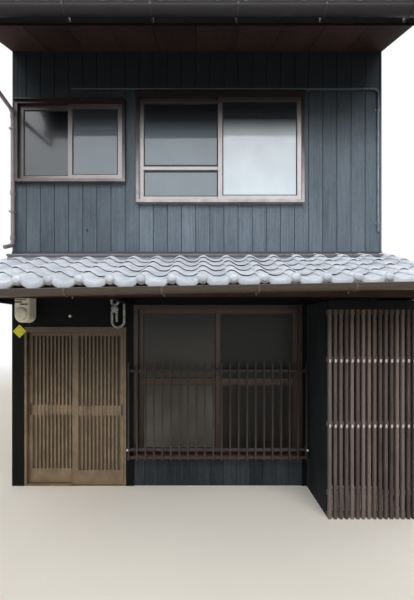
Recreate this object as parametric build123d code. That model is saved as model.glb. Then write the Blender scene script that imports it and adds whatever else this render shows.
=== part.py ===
"""Machiya townhouse: a narrow two-storey timber house that stands in a row, built as separate pieces.

Millimetres. +Z is up, +Y runs from the street to the back, and +X is to the right as seen from the street.
The origin is on the ground at the centre of the footprint. One STEP file is written for each piece.
"""
import os
from math import radians, sqrt, tan

from build123d import *

# House and storeys
house_width = 4070
house_depth = 5910
party_wall_thickness = 90
wall_thickness = 120
board_thickness = 18
ground_storey_height = 2480
upper_storey_height = 2316
floor_slab_thickness = 30
floor_board_thickness = 30
joist_depth = 105
joist_width = 60
joist_pitch = 470

# Posts of the ground floor front
corner_post_width = 137
door_post_width = 88
bay_post_width = 132
panel_setback = 10

# Main roof
roof_slope = 0.45
roof_projection = 700
verge_overhang = 47.5
rafter_width = 45
rafter_rise = 82
rafter_count = 10
deck_rise = 16
soffit_thickness = 9
fascia_thickness = 20
eave_fascia_height = 200
pent_fascia_height = 90
beam_width = 120
beam_height = 150
ridge_gap = 24
ridge_cap_width = 190
ridge_cap_height = 120
ridge_roll_radius = 70

# Roof tiles, as the stepped body of the courses
main_course_count = 19
pent_course_count = 5
tile_head_rise = 50
tile_step_rise = 18
tile_lip_overhang = 40

# Pent roof
pent_drop = 3
pent_projection = 915
pent_rafter_width = 45
pent_rafter_rise = 55
pent_rafter_count = 11
pent_deck_rise = 15
pent_arm_width = 60
pent_arm_height = 60
pent_arm_length = 740
pent_arm_inset = 35
pent_purlin_width = 75
pent_purlin_rise = 20
pent_ledger_depth = 35
pent_ledger_height = 90
flashing_thickness = 4
flashing_height = 50
flashing_reach = 70

# Gutters and downpipe
gutter_radius = 52
gutter_wall = 3
gutter_stop_hole = 0.5
hook_thickness = 4
hook_width = 14
hook_clearance = 0.3
strap_flats = 8
hook_arm_drop = 24
eave_hook_heights = (-24, 60)
pent_hook_heights = (-62, -14)
pent_gutter_reach = 60
pent_gutter_drop = 29
pent_gutter_fall = 1.02
eave_gutter_reach = 92
eave_gutter_drop = 173
pent_hook_margin = 367.5
pent_hook_pitch = 738
eave_hook_margin = 282.5
eave_hook_pitch = 720
pipe_radius = 21
pipe_sides = 12
pipe_inset = 32
pipe_standoff = 14
pipe_foot_rise = 160
pipe_bend_drop = 296
pipe_bend_radius = 60
pipe_foot_reach = 130
pipe_clip_rises = (520, 1420)
pipe_clip_border = 6

# Entrance door
door_width = 1117
door_height = 1749
door_frame_depth = 110
door_jamb = 22
door_head = 59
door_sill = 10
track_rib_width = 5
track_rib_height = 7
sash_setback = 5
sash_thickness = 30
sash_clearance = 5
sash_stile = 36
sash_meeting_stile = 66
sash_top_rail = 35
sash_bottom_rail = 158
sash_mid_rail = 110
sash_mid_rail_height = 770
sash_mid_rail_setback = 6
tongue_thickness = 14
tongue_height = 27
head_groove_depth = 35
lattice_bar_count = 10
lattice_bar_width = 18
lattice_bar_depth = 12
door_glass_thickness = 4
door_glass_offset = 1
glass_bite = 5
glass_clearance = 0.3
roller_radius = 11
roller_width = 6
roller_axle_radius = 3
roller_axle_seat = 4
roller_inset = 100
roller_pocket_length = 30
roller_pocket_width = 12
pull_width = 16
pull_height = 130
pull_depth = 8
pull_bottom = 770
lock_height = 852
lock_radius = 11
lock_projection = 4

# Windows, with sills measured from the floor of their storey
window_frame_depth = 70
window_frame_bar = 30
window_wall_overlap = 30
window_sash_depth = 24
window_sash_bar = 45
window_sash_gap = 1
window_glass_thickness = 5
upper_left_window_inset = 61
upper_left_window_width = 1193
upper_left_window_sill = 847
upper_left_window_height = 875
upper_window_gap = 121
upper_right_window_width = 1826
upper_right_window_sill = 622
upper_right_window_height = 1177
upper_window_bar_rise = 976
upper_window_bar = 60
window_cover_height = 22
window_cover_lip = 9
window_cover_reach = 26
window_cover_side = 5
ground_window_width = 1848
ground_window_sill = 308
ground_window_height = 1683
ground_window_frame_bar = 45
ground_window_frame_depth = 100
ground_window_projection = 10
ground_window_bar_height = 1111
window_mid_bar = 66
rear_ground_window_sill = 900

# Window guard
guard_left_side = 54
guard_right_side = 35
guard_bottom = 325
guard_top = 1363
guard_bar_count = 22
guard_bar = 17
guard_rail_heights = (346, 432, 1277)
guard_rail_height = 30
guard_rail_depth = 10
guard_standoff = 80
guard_arm_width = 30
guard_arm_thickness = 12

# Lattice box at the right of the ground floor
box_post_lap = 52
box_right_inset = 35
box_projection = 574
box_board = 24
box_top_gap = 9
box_header_height = 83
box_bar_count = 16
box_bar_width = 28
box_bar_depth = 28
box_rail_height = 45
box_rail_depth = 24
box_rail_places = (0, 203, 833, 1426)

# Fittings on the front
conduit_radius = 11
conduit_sides = 8
conduit_drop = 440
conduit_left_inset = 660
conduit_right_inset = 50
conduit_foot_rise = 314
conduit_bend_radius = 60
fitting_gap = 0.3
meter_width = 156
meter_height = 270
meter_depth = 135
meter_inset = 188
meter_bottom = 1795
meter_edge = 12
meter_window_radius = 50
meter_window_rise = 33
meter_window_depth = 8
button_inset = 501
button_height = 1870
button_radius = 16.5
button_depth = 13
button_plate_radius = 24
button_plate_depth = 5
tag_inset = 84
tag_height = 1702
tag_side = 104
tag_thickness = 4
fitting_inset = 119
fitting_bottom = 1800
fitting_body_radius = 34
fitting_body_height = 190
fitting_eye_radius = 38
fitting_eye_hole_radius = 20
fitting_eye_thickness = 14
fitting_eye_rise = 30
fitting_arm_width = 30
fitting_arm_height = 40
fitting_tube_radius = 8
fitting_tube_sides = 8
fitting_loop_width = 120
fitting_loop_bend_radius = 48
fitting_loop_rise = 250
fitting_loop_drop = 60
fitting_standoff = 60

# Places that follow from the sizes above
half_width = house_width / 2
front_face = -house_depth / 2
rear_face = house_depth / 2
front_wall_outer = front_face + board_thickness
front_wall_inner = front_wall_outer + wall_thickness
inner_half_width = half_width - party_wall_thickness
panel_face = front_face + panel_setback
door_left = -half_width + corner_post_width
door_right = door_left + door_width
window_left = door_right + door_post_width
window_right = window_left + ground_window_width
window_top = ground_window_sill + ground_window_height
right_post_left = half_width - corner_post_width
box_left = window_right + box_post_lap
box_right = half_width - box_right_inset
box_front = front_face - box_projection
roof_width = house_width + 2 * verge_overhang
roof_spring_height = ground_storey_height + upper_storey_height
wall_plate_top = roof_spring_height - soffit_thickness
guard_left = window_left - guard_left_side
guard_right = window_right + guard_right_side
ground_window = (window_left, ground_window_width, ground_window_sill, ground_window_height)
upper_left_window = (
    -half_width + upper_left_window_inset,
    upper_left_window_width,
    ground_storey_height + upper_left_window_sill,
    upper_left_window_height,
)
upper_right_window = (
    upper_left_window[0] + upper_left_window_width + upper_window_gap,
    upper_right_window_width,
    ground_storey_height + upper_right_window_sill,
    upper_right_window_height,
)


def block(x, y, z):
    """A plain block between the low and high values given for each axis."""
    size = (x[1] - x[0], y[1] - y[0], z[1] - z[0])
    centre = ((x[0] + x[1]) / 2, (y[0] + y[1]) / 2, (z[0] + z[1]) / 2)
    return Pos(*centre) * Box(*size)


def run_along_x(points, x0, x1):
    """A prism whose outline is given in Y and Z, from x0 to x1."""
    outline = Plane.YZ * make_face(Polyline(*points, close=True))
    return Pos(x0, 0, 0) * extrude(outline, x1 - x0)


def roof_height(y, spring):
    """Height of a front slope's rafter underside at the place y; spring is its height at the front face."""
    return spring + roof_slope * (y - front_face)


def slope_slab(y_ends, rises, spring, x_ends):
    """A slab that follows a front slope, between two heights above the rafter underside."""
    low, high = rises
    heights = [roof_height(y, spring) for y in y_ends]
    points = [
        (y_ends[0], heights[0] + low),
        (y_ends[1], heights[1] + low),
        (y_ends[1], heights[1] + high),
        (y_ends[0], heights[0] + high),
    ]
    return run_along_x(points, *x_ends)


def to_the_rear(piece):
    """The same piece on the rear slope."""
    return mirror(piece, Plane.XZ)


def front_and_rear(piece):
    """A piece of the front slope with its twin on the rear slope."""
    return [piece, to_the_rear(piece)]


def even_places(first, last, count):
    """Evenly spaced places from first to last."""
    return [first + (last - first) * i / (count - 1) for i in range(count)]


def tile_courses(y_eave, y_top, count, base, spring):
    """The stepped body of the tile courses, thickest at the foot of each course."""
    points = [(y_eave, roof_height(y_eave, spring) + base)]
    course_run = (y_top - y_eave) / count
    for i in range(count):
        foot = y_eave + course_run * i
        head = foot + course_run
        foot_z = roof_height(foot, spring) + base + tile_head_rise + tile_step_rise
        head_z = roof_height(head, spring) + base + tile_head_rise
        points += [(foot, foot_z), (head, head_z)]
    points.append((y_top, roof_height(y_top, spring) + base))
    return run_along_x(points, -roof_width / 2, roof_width / 2)


def make_ground_floor():
    """The mortar floor at street level, inside the walls."""
    inner = (-inner_half_width, inner_half_width)
    return block(inner, (front_wall_inner, -front_wall_inner), (0, floor_slab_thickness))


def make_party_wall(side):
    """A plain party wall that rises to the roof boards; side is -1 at the left and 1 at the right."""
    eave_z = roof_height(front_wall_inner, roof_spring_height) + rafter_rise
    ridge_z = roof_height(0, roof_spring_height) + rafter_rise
    points = [
        (front_wall_inner, 0),
        (-front_wall_inner, 0),
        (-front_wall_inner, eave_z),
        (0, ridge_z),
        (front_wall_inner, eave_z),
    ]
    edges = sorted((side * inner_half_width, side * half_width))
    return run_along_x(points, *edges)


def make_front_posts():
    """The four posts that frame the door, the window and the corners of the ground floor front."""
    edges = [
        (-half_width, door_left),
        (door_right, window_left),
        (window_right, window_right + bay_post_width),
        (right_post_left, half_width),
    ]
    return [block(edge, (front_face, front_wall_inner), (0, ground_storey_height)) for edge in edges]


def make_front_panel(x0, x1, z0, z1):
    """A panel of the ground floor front, set back from the faces of its posts."""
    return block((x0, x1), (panel_face, front_wall_inner), (z0, z1))


def window_hole(window, inset, y0, y1):
    """The space that a window takes from a wall."""
    x, width, z, height = window
    return block((x + inset, x + width - inset), (y0, y1), (z + inset, z + height - inset))


def make_upper_front_wall():
    """The framed wall of the upper storey, with its two window openings."""
    heights = (ground_storey_height, plate_bottom)
    wall = block((-half_width, half_width), (front_wall_outer, front_wall_inner), heights)
    for window in (upper_left_window, upper_right_window):
        wall -= window_hole(window, window_wall_overlap, front_wall_outer, front_wall_inner)
    return wall


def make_front_boards():
    """The upright boarding of the upper storey, cut round the outer frames of the windows."""
    heights = (ground_storey_height, wall_plate_top)
    boards = block((-half_width, half_width), (front_face, front_wall_outer), heights)
    for window in (upper_left_window, upper_right_window):
        boards -= window_hole(window, 0, front_face, front_wall_outer)
    return boards


def rear_windows():
    """The two windows of the rear wall, as large as the right upper window of the front."""
    left, width = -upper_right_window_width / 2, upper_right_window_width
    sills = (rear_ground_window_sill, ground_storey_height + upper_right_window_sill)
    return [(left, width, sill, upper_right_window_height) for sill in sills]


def make_rear_wall():
    """The rear wall over both storeys."""
    wall = block((-half_width, half_width), (-front_wall_inner, -front_wall_outer), (0, plate_bottom))
    for window in rear_windows():
        wall -= window_hole(window, window_wall_overlap, -front_wall_inner, -front_wall_outer)
    return wall


def make_rear_boards():
    """The upright boarding of the rear wall."""
    boards = block((-half_width, half_width), (-front_wall_outer, rear_face), (0, wall_plate_top))
    for window in rear_windows():
        boards -= window_hole(window, 0, -front_wall_outer, rear_face)
    return boards


def make_upper_floor():
    """The boards of the upper floor, inside the walls."""
    inner = (-inner_half_width, inner_half_width)
    heights = (ground_storey_height, ground_storey_height + floor_board_thickness)
    return block(inner, (front_wall_inner, -front_wall_inner), heights)


def make_floor_joists():
    """Joists that carry the upper floor from one party wall to the other."""
    joist_count = int((-2 * front_wall_inner - joist_width) // joist_pitch) + 1
    reach = joist_pitch * (joist_count - 1) / 2
    heights = (ground_storey_height - joist_depth, ground_storey_height)
    joists = []
    for y in even_places(-reach, reach, joist_count):
        across = (y - joist_width / 2, y + joist_width / 2)
        joists.append(block((-inner_half_width, inner_half_width), across, heights))
    return joists


def sloped_beam(y0, y1, depth, x0, x1):
    """A beam under the rafters, with its top planed to their slope."""
    low = roof_height(y0, roof_spring_height)
    high = roof_height(y1, roof_spring_height)
    return run_along_x([(y0, low - depth), (y1, low - depth), (y1, high), (y0, low)], x0, x1)


def make_roof_beams():
    """Wall plates, side purlins and the ridge beam."""
    plate_depth = plate_top_low - plate_bottom
    plate = sloped_beam(front_wall_outer, front_wall_inner, plate_depth, -half_width, half_width)
    purlin_y = (front_wall_outer + beam_width / 2) / 2
    purlin_edges = (purlin_y - beam_width / 2, purlin_y + beam_width / 2)
    purlin = sloped_beam(*purlin_edges, beam_height, -inner_half_width, inner_half_width)
    ridge_z = roof_height(0, roof_spring_height)
    shoulder_z = roof_height(-beam_width / 2, roof_spring_height)
    ridge_points = [
        (-beam_width / 2, shoulder_z - beam_height),
        (beam_width / 2, shoulder_z - beam_height),
        (beam_width / 2, shoulder_z),
        (0, ridge_z),
        (-beam_width / 2, shoulder_z),
    ]
    ridge = run_along_x(ridge_points, -inner_half_width, inner_half_width)
    return front_and_rear(plate) + front_and_rear(purlin) + [ridge]


def make_roof_rafters():
    """Rafters of both slopes, from the eave to the ridge."""
    eave_y = front_face - roof_projection + fascia_thickness
    outer = inner_half_width - rafter_width / 2
    rafters = []
    for x in even_places(-outer, outer, rafter_count):
        sides = (x - rafter_width / 2, x + rafter_width / 2)
        rafter = slope_slab((eave_y, -ridge_gap / 2), (0, rafter_rise), roof_spring_height, sides)
        rafters += front_and_rear(rafter)
    return rafters


def make_roof_deck():
    """The roof boards of both slopes."""
    eave_y = front_face - roof_projection
    rises = (rafter_rise, rafter_rise + deck_rise)
    sides = (-roof_width / 2, roof_width / 2)
    deck = slope_slab((eave_y, -ridge_gap / 2), rises, roof_spring_height, sides)
    return front_and_rear(deck)


def make_roof_tiles():
    """The tile courses of both slopes."""
    eave_y = front_face - roof_projection - tile_lip_overhang
    base = rafter_rise + deck_rise
    tiles = tile_courses(eave_y, -ridge_gap / 2, main_course_count, base, roof_spring_height)
    return front_and_rear(tiles)


def make_roof_ridge():
    """The ridge: flat tiles laid in courses under a round cap."""
    half = ridge_cap_width / 2
    gap = ridge_gap / 2
    course_run = (-front_face + roof_projection + tile_lip_overhang - gap) / main_course_count
    peak = roof_height(-gap, roof_spring_height) + rafter_rise + deck_rise + tile_head_rise
    foot = peak - (roof_slope - tile_step_rise / course_run) * (half - gap)
    top = peak + ridge_cap_height - ridge_roll_radius
    outline = [(-half, foot), (-gap, peak), (gap, peak), (half, foot), (half, top), (-half, top)]
    body = run_along_x(outline, -roof_width / 2, roof_width / 2)
    roll = Pos(0, 0, top) * Rot(0, 90, 0) * Cylinder(ridge_roll_radius, roof_width)
    above = block((-roof_width / 2, roof_width / 2), (-half, half), (top, top + ridge_roll_radius + 1))
    return body + (roll & above)


def make_eave_boards():
    """Fascia boards at the rafter ends and the smooth soffit boards under both eaves."""
    eave_y = front_face - roof_projection
    fascia_y = (eave_y, eave_y + fascia_thickness)
    low = eave_fascia_top - eave_fascia_height
    high = roof_height(fascia_y[1], roof_spring_height) + rafter_rise
    outline = [(fascia_y[0], low), (fascia_y[1], low), (fascia_y[1], high), (fascia_y[0], eave_fascia_top)]
    fascia = run_along_x(outline, -half_width, half_width)
    rises = (-soffit_thickness, 0)
    soffit = slope_slab((fascia_y[1], front_face), rises, roof_spring_height, (-half_width, half_width))
    return front_and_rear(fascia + soffit)


def half_round(centre_y, rim_z, outer, inner, x0, x1):
    """A half-round trough, open at the top."""
    ring = Rot(0, 90, 0) * (Cylinder(outer, x1 - x0) - Cylinder(inner, x1 - x0))
    lower = block((-(x1 - x0) / 2, (x1 - x0) / 2), (-outer, outer), (-outer, 0))
    return Pos((x0 + x1) / 2, centre_y, rim_z) * (ring & lower)


def bent_strap(centre_y, rim_z, inner, outer, x0, x1):
    """A flat strap bent in short flats round the underside of a half-round trough."""
    ring = RegularPolygon(outer, 2 * strap_flats, major_radius=False)
    ring -= RegularPolygon(inner, 2 * strap_flats, major_radius=False)
    reach = 2 * outer
    lower_half = ring & (Pos(0, -reach / 2) * Rectangle(2 * reach, reach))
    place = Plane(origin=(x0, centre_y, rim_z), x_dir=(0, 1, 0), z_dir=(1, 0, 0))
    return extrude(place * lower_half, x1 - x0)


def gutter(centre_y, rim_z, fall):
    """A half-round gutter with a stop at each end, which falls to the left by an angle in degrees."""
    x0, x1 = -roof_width / 2, roof_width / 2
    trough = half_round(0, 0, gutter_radius, gutter_radius - gutter_wall, x0, x1)
    for end in (x0, x1 - gutter_wall):
        trough += half_round(0, 0, gutter_radius - gutter_wall / 2, gutter_stop_hole, end, end + gutter_wall)
    return Pos(0, centre_y, rim_z) * Rot(0, -fall, 0) * trough


def hook_places(margin, pitch):
    """Places of the hooks along an eave, from the margin at its left end."""
    count = int((roof_width - margin - hook_width) // pitch) + 1
    return [-roof_width / 2 + margin + pitch * i for i in range(count)]


def gutter_hook(centre_y, rim_z, fascia_y, back_z, x):
    """A hook that carries a gutter; its back plate lies on the fascia board over the heights back_z."""
    inner = gutter_radius + hook_clearance
    outer = inner + hook_thickness
    x0, x1 = x - hook_width / 2, x + hook_width / 2
    cradle = bent_strap(centre_y, rim_z, inner, outer, x0, x1)
    arm_start = sqrt((inner + hook_thickness / 2) ** 2 - hook_arm_drop**2)
    arm_z = rim_z - hook_arm_drop
    arm = block((x0, x1), (centre_y + arm_start, fascia_y), (arm_z, arm_z + hook_thickness))
    back = block((x0, x1), (fascia_y - hook_thickness, fascia_y), back_z)
    return cradle + arm + back


def make_eave_gutters():
    """The gutters of the front and rear eaves."""
    front = gutter(eave_gutter_y, eave_gutter_height, 0)
    return front_and_rear(front)


def make_pent_gutter():
    """The gutter of the pent roof."""
    return gutter(pent_gutter_y, pent_gutter_height, pent_gutter_fall)


def make_gutter_hooks():
    """The hooks of all three gutters."""
    hooks = []
    eave_fascia = front_face - roof_projection
    eave_back = [eave_gutter_height + height for height in eave_hook_heights]
    for x in hook_places(eave_hook_margin, eave_hook_pitch):
        hooks += front_and_rear(gutter_hook(eave_gutter_y, eave_gutter_height, eave_fascia, eave_back, x))
    for x in hook_places(pent_hook_margin, pent_hook_pitch):
        rim_z = pent_gutter_height + x * tan(radians(pent_gutter_fall))
        back_z = [rim_z + height for height in pent_hook_heights]
        hooks.append(gutter_hook(pent_gutter_y, rim_z, pent_fascia_face, back_z, x))
    return hooks


def tube_along(points, radius, bend_radius, sides):
    """A bar of many sides along straight runs joined by bends."""
    path = FilletPolyline(*points, radius=bend_radius)
    section = Plane(origin=path @ 0, z_dir=path % 0) * RegularPolygon(radius, sides)
    return sweep(section, path)


def make_downpipe():
    """The rain pipe from the eave gutter, back to the wall and down it to the pent roof."""
    x = -half_width + pipe_inset
    wall_y = front_face - pipe_standoff - pipe_radius
    outlet_z = eave_gutter_height - gutter_radius - fitting_gap
    foot_z = ground_storey_height + pipe_foot_rise
    points = [
        (x, eave_gutter_y, outlet_z),
        (x, eave_gutter_y, outlet_z - 2 * pipe_bend_radius),
        (x, wall_y, eave_gutter_height - pipe_bend_drop),
        (x, wall_y, foot_z),
        (x, wall_y - pipe_foot_reach, foot_z - roof_slope * pipe_foot_reach),
    ]
    pipe = tube_along(points, pipe_radius, pipe_bend_radius, pipe_sides)
    reach = pipe_radius + pipe_clip_border
    for rise in pipe_clip_rises:
        z = ground_storey_height + rise
        heights = (z - hook_width / 2, z + hook_width / 2)
        pipe += block((x - reach, x + reach), (wall_y - reach, front_face), heights)
    return pipe


def make_pent_roof_frame():
    """Arms from the posts with the purlin that lies on them, and the ledger along the wall."""
    outer_y = front_face - pent_arm_length
    inner_y = outer_y + pent_purlin_width
    outline = [
        (outer_y, pent_arm_bottom),
        (inner_y, pent_arm_bottom),
        (inner_y, roof_height(inner_y, pent_spring)),
        (outer_y, roof_height(outer_y, pent_spring)),
    ]
    frame = run_along_x(outline, -half_width, half_width)
    heights = (pent_arm_bottom, pent_arm_bottom + pent_arm_height)
    door_post_middle = (door_right + window_left) / 2
    bay_post_middle = window_right + bay_post_width / 2
    outer_arm = half_width - pent_arm_inset
    for x in (-outer_arm, door_post_middle, bay_post_middle, outer_arm):
        frame += block((x - pent_arm_width / 2, x + pent_arm_width / 2), (inner_y, front_face), heights)
    ledger_y = front_face - pent_ledger_depth
    ledger_high = roof_height(front_face, pent_spring)
    ledger_low = roof_height(ledger_y, pent_spring)
    ledger_bottom = ledger_low - pent_ledger_height
    ledger_outline = [
        (ledger_y, ledger_bottom),
        (front_face, ledger_bottom),
        (front_face, ledger_high),
        (ledger_y, ledger_low),
    ]
    return [frame, run_along_x(ledger_outline, -half_width, half_width)]


def make_pent_roof_rafters():
    """Rafters of the pent roof, from its fascia board over the purlin to the ledger."""
    outer = half_width - pent_rafter_width / 2
    y_ends = (pent_fascia_face + fascia_thickness, front_face)
    rafters = []
    for x in even_places(-outer, outer, pent_rafter_count):
        sides = (x - pent_rafter_width / 2, x + pent_rafter_width / 2)
        rafters.append(slope_slab(y_ends, (0, pent_rafter_rise), pent_spring, sides))
    return rafters


def make_pent_roof_deck():
    """The roof boards of the pent roof and the fascia board at their foot."""
    rises = (pent_rafter_rise, pent_rafter_rise + pent_deck_rise)
    deck = slope_slab((pent_fascia_face, front_face), rises, pent_spring, (-half_width, half_width))
    back = pent_fascia_face + fascia_thickness
    heights = (pent_fascia_top - pent_fascia_height, pent_fascia_top)
    return deck + block((-half_width, half_width), (pent_fascia_face, back), heights)


def make_pent_roof_tiles():
    """The tile courses of the pent roof."""
    base = pent_rafter_rise + pent_deck_rise
    return tile_courses(front_face - pent_projection, front_face, pent_course_count, base, pent_spring)


def make_pent_flashing():
    """The folded metal strip where the pent roof meets the boards."""
    foot = pent_top_height + tile_head_rise
    tile_top_slope = roof_slope - tile_step_rise / (pent_projection / pent_course_count)
    reach_z = foot - tile_top_slope * flashing_reach
    fold_y = front_face - flashing_thickness
    fold_z = foot - tile_top_slope * flashing_thickness + flashing_thickness
    points = [
        (front_face, foot),
        (front_face, foot + flashing_height),
        (fold_y, foot + flashing_height),
        (fold_y, fold_z),
        (front_face - flashing_reach, reach_z + flashing_thickness),
        (front_face - flashing_reach, reach_z),
    ]
    return run_along_x(points, -half_width, half_width)


def window_frame(window, y_front, depth, bar):
    """The outer frame of a window."""
    x, width, z, height = window
    outer = block((x, x + width), (y_front, y_front + depth), (z, z + height))
    inner = block((x + bar, x + width - bar), (y_front, y_front + depth), (z + bar, z + height - bar))
    return outer - inner


def window_sash(x0, x1, z0, z1, y0, mid_bar):
    """One window sash, its frame grooved for the pane, and the pane or panes in it.

    A mid rail is given by the heights of its lower and upper edges.
    """
    y1 = y0 + window_sash_depth
    bar = window_sash_bar
    sash = block((x0, x1), (y0, y1), (z0, z1)) - block((x0 + bar, x1 - bar), (y0, y1), (z0 + bar, z1 - bar))
    levels = [z0 + bar, z1 - bar]
    if mid_bar:
        sash += block((x0 + bar, x1 - bar), (y0, y1), mid_bar)
        levels = [z0 + bar, *mid_bar, z1 - bar]
    pane_margin = (window_sash_depth - window_glass_thickness) / 2
    pane_y = (y0 + pane_margin, y1 - pane_margin)
    panes = []
    for low, high in zip(levels[0::2], levels[1::2]):
        groove = block(
            (x0 + bar - glass_bite, x1 - bar + glass_bite),
            (pane_y[0] - glass_clearance, pane_y[1] + glass_clearance),
            (low - glass_bite, high + glass_bite),
        )
        sash -= groove
        panes.append(
            block(
                (x0 + bar - glass_bite + glass_clearance, x1 - bar + glass_bite - glass_clearance),
                pane_y,
                (low - glass_bite, high + glass_bite - glass_clearance),
            )
        )
    return sash, panes


def make_window(window, y_front, depth, bar, left_mid_bar=None, right_mid_bar=None):
    """A sliding window of two sashes, the right one in front, as frame, sashes and panes."""
    x, width, z, height = window
    frame = window_frame(window, y_front, depth, bar)
    inner = (x + bar + window_sash_gap, x + width - bar - window_sash_gap)
    sash_width = (inner[1] - inner[0] + window_sash_bar) / 2
    z0 = z + bar
    z1 = z + height - bar - window_sash_gap
    margin = (depth - 2 * window_sash_depth - window_sash_gap) / 2
    front_y = y_front + margin
    back_y = front_y + window_sash_depth + window_sash_gap
    right, right_panes = window_sash(inner[1] - sash_width, inner[1], z0, z1, front_y, right_mid_bar)
    left, left_panes = window_sash(inner[0], inner[0] + sash_width, z0, z1, back_y, left_mid_bar)
    return frame, [left, right], left_panes + right_panes


def window_cover(window, cover_front):
    """The rain cover over a window's head, with its top sloped down to a front lip."""
    x, width, z, height = window
    head = z + height
    outline = [
        (front_face, head),
        (cover_front, head),
        (cover_front, head + window_cover_lip),
        (front_face, head + window_cover_height),
    ]
    return run_along_x(outline, x - window_cover_side, x + width + window_cover_side)


def make_upper_windows():
    """The two windows of the upper storey, fixed on the face of the wall, with a cover over each head."""
    frames, sashes, panes = [], [], []
    y_front = front_wall_outer - window_frame_depth
    bar_z = ground_storey_height + upper_window_bar_rise
    mid_bars = (None, (bar_z, bar_z + upper_window_bar))
    for window, mid_bar in zip((upper_left_window, upper_right_window), mid_bars):
        frame, pair, glass = make_window(window, y_front, window_frame_depth, window_frame_bar, mid_bar)
        frames.append(frame + window_cover(window, y_front - window_cover_reach))
        sashes += pair
        panes += glass
    return frames, sashes, panes


def make_ground_window():
    """The large window of the ground floor."""
    y_front = front_face - ground_window_projection
    depth, bar = ground_window_frame_depth, ground_window_frame_bar
    mid_bar = (ground_window_bar_height, ground_window_bar_height + window_mid_bar)
    return make_window(ground_window, y_front, depth, bar, mid_bar, mid_bar)


def make_rear_windows():
    """The two windows of the rear wall."""
    frames, sashes, panes = [], [], []
    y_front = front_wall_outer - window_frame_depth
    for window in rear_windows():
        frame, pair, glass = make_window(window, y_front, window_frame_depth, window_frame_bar)
        frames.append(to_the_rear(frame))
        sashes += [to_the_rear(sash) for sash in pair]
        panes += [to_the_rear(pane) for pane in glass]
    return frames, sashes, panes


def make_window_guard():
    """Upright bars on three rails, carried on arms at both ends."""
    y_bar = front_face - guard_standoff - guard_bar
    bar_y = (y_bar, y_bar + guard_bar)
    rail_y = (bar_y[1], bar_y[1] + guard_rail_depth)
    pieces = []
    for x in even_places(guard_left + guard_bar, guard_right - guard_bar, guard_bar_count):
        pieces.append(block((x - guard_bar / 2, x + guard_bar / 2), bar_y, (guard_bottom, guard_top)))
    for z in guard_rail_heights:
        rail_z = (z - guard_rail_height / 2, z + guard_rail_height / 2)
        arm_z = (z - guard_arm_width / 2, z + guard_arm_width / 2)
        pieces.append(block((guard_left, guard_right), rail_y, rail_z))
        for end in (guard_left, guard_right - guard_arm_thickness):
            pieces.append(block((end, end + guard_arm_thickness), (rail_y[1], front_face), arm_z))
    return pieces[0] + pieces[1:]


def track_places():
    """Middle of the outer and inner door tracks."""
    outer = front_face + sash_setback + sash_thickness / 2
    return outer, outer + sash_thickness + 2 * sash_clearance


def make_door_frame():
    """The door frame: jambs, a head with two grooves and a sill with two raised tracks."""
    y = (front_face, front_face + door_frame_depth)
    frame = block((door_left, door_right), y, (0, door_height))
    frame -= block((door_left + door_jamb, door_right - door_jamb), y, (door_sill, door_height - door_head))
    clear = (door_left + door_jamb, door_right - door_jamb)
    half_groove = tongue_thickness / 2 + sash_clearance
    for track in track_places():
        groove_z = (door_height - door_head, door_height - door_head + head_groove_depth)
        frame -= block(clear, (track - half_groove, track + half_groove), groove_z)
        rib_y = (track - track_rib_width / 2, track + track_rib_width / 2)
        frame += block(clear, rib_y, (door_sill, rail_top))
    return frame


def door_panel_levels():
    """Low and high edges of the lower and upper glazed panels of a door sash."""
    low = sash_bottom + sash_bottom_rail
    mid = sash_mid_rail_height
    return [(low, mid), (mid + sash_mid_rail, sash_top - sash_top_rail)]


def make_door_sash(x0, track, meeting_on_left):
    """A lattice door sash with its two rollers, and its two panes."""
    x1 = x0 + sash_width
    y = (track - sash_thickness / 2, track + sash_thickness / 2)
    left = sash_meeting_stile if meeting_on_left else sash_stile
    right = sash_stile if meeting_on_left else sash_meeting_stile
    inner = (x0 + left, x1 - right)
    sash = block((x0, x1), y, (sash_bottom, sash_top))
    for low, high in door_panel_levels():
        sash -= block(inner, y, (low, high))
    mid_rail = (sash_mid_rail_height, sash_mid_rail_height + sash_mid_rail)
    sash -= block(inner, (y[0], y[0] + sash_mid_rail_setback), mid_rail)
    pitch = (inner[1] - inner[0]) / (lattice_bar_count + 1)
    bar_y = (y[0], y[0] + lattice_bar_depth)
    levels = (sash_bottom + sash_bottom_rail, sash_top - sash_top_rail)
    for i in range(lattice_bar_count):
        x = inner[0] + pitch * (i + 1)
        sash += block((x - lattice_bar_width / 2, x + lattice_bar_width / 2), bar_y, levels)
    tongue = (track - tongue_thickness / 2, track + tongue_thickness / 2)
    sash += block((x0, x1), tongue, (sash_top, sash_top + tongue_height))
    half_slot = track_rib_width / 2 + sash_clearance
    slot_z = (sash_bottom, rail_top + 2 * sash_clearance)
    sash -= block((x0, x1), (track - half_slot, track + half_slot), slot_z)
    panes, grooves = door_panes(inner, track)
    for groove in grooves:
        sash -= groove
    sash -= door_pull(x0 if not meeting_on_left else x1, meeting_on_left, y[0])
    rollers = []
    for x in (x0 + roller_inset, x1 - roller_inset):
        pocket, axle, roller = door_roller(x, track)
        sash = sash - pocket + axle
        rollers.append(roller)
    if meeting_on_left:
        lock_place = Pos(x0 + sash_meeting_stile / 2, y[0] - lock_projection / 2, lock_height)
        sash += lock_place * Rot(90, 0, 0) * Cylinder(lock_radius, lock_projection)
    return [sash] + rollers, panes


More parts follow.
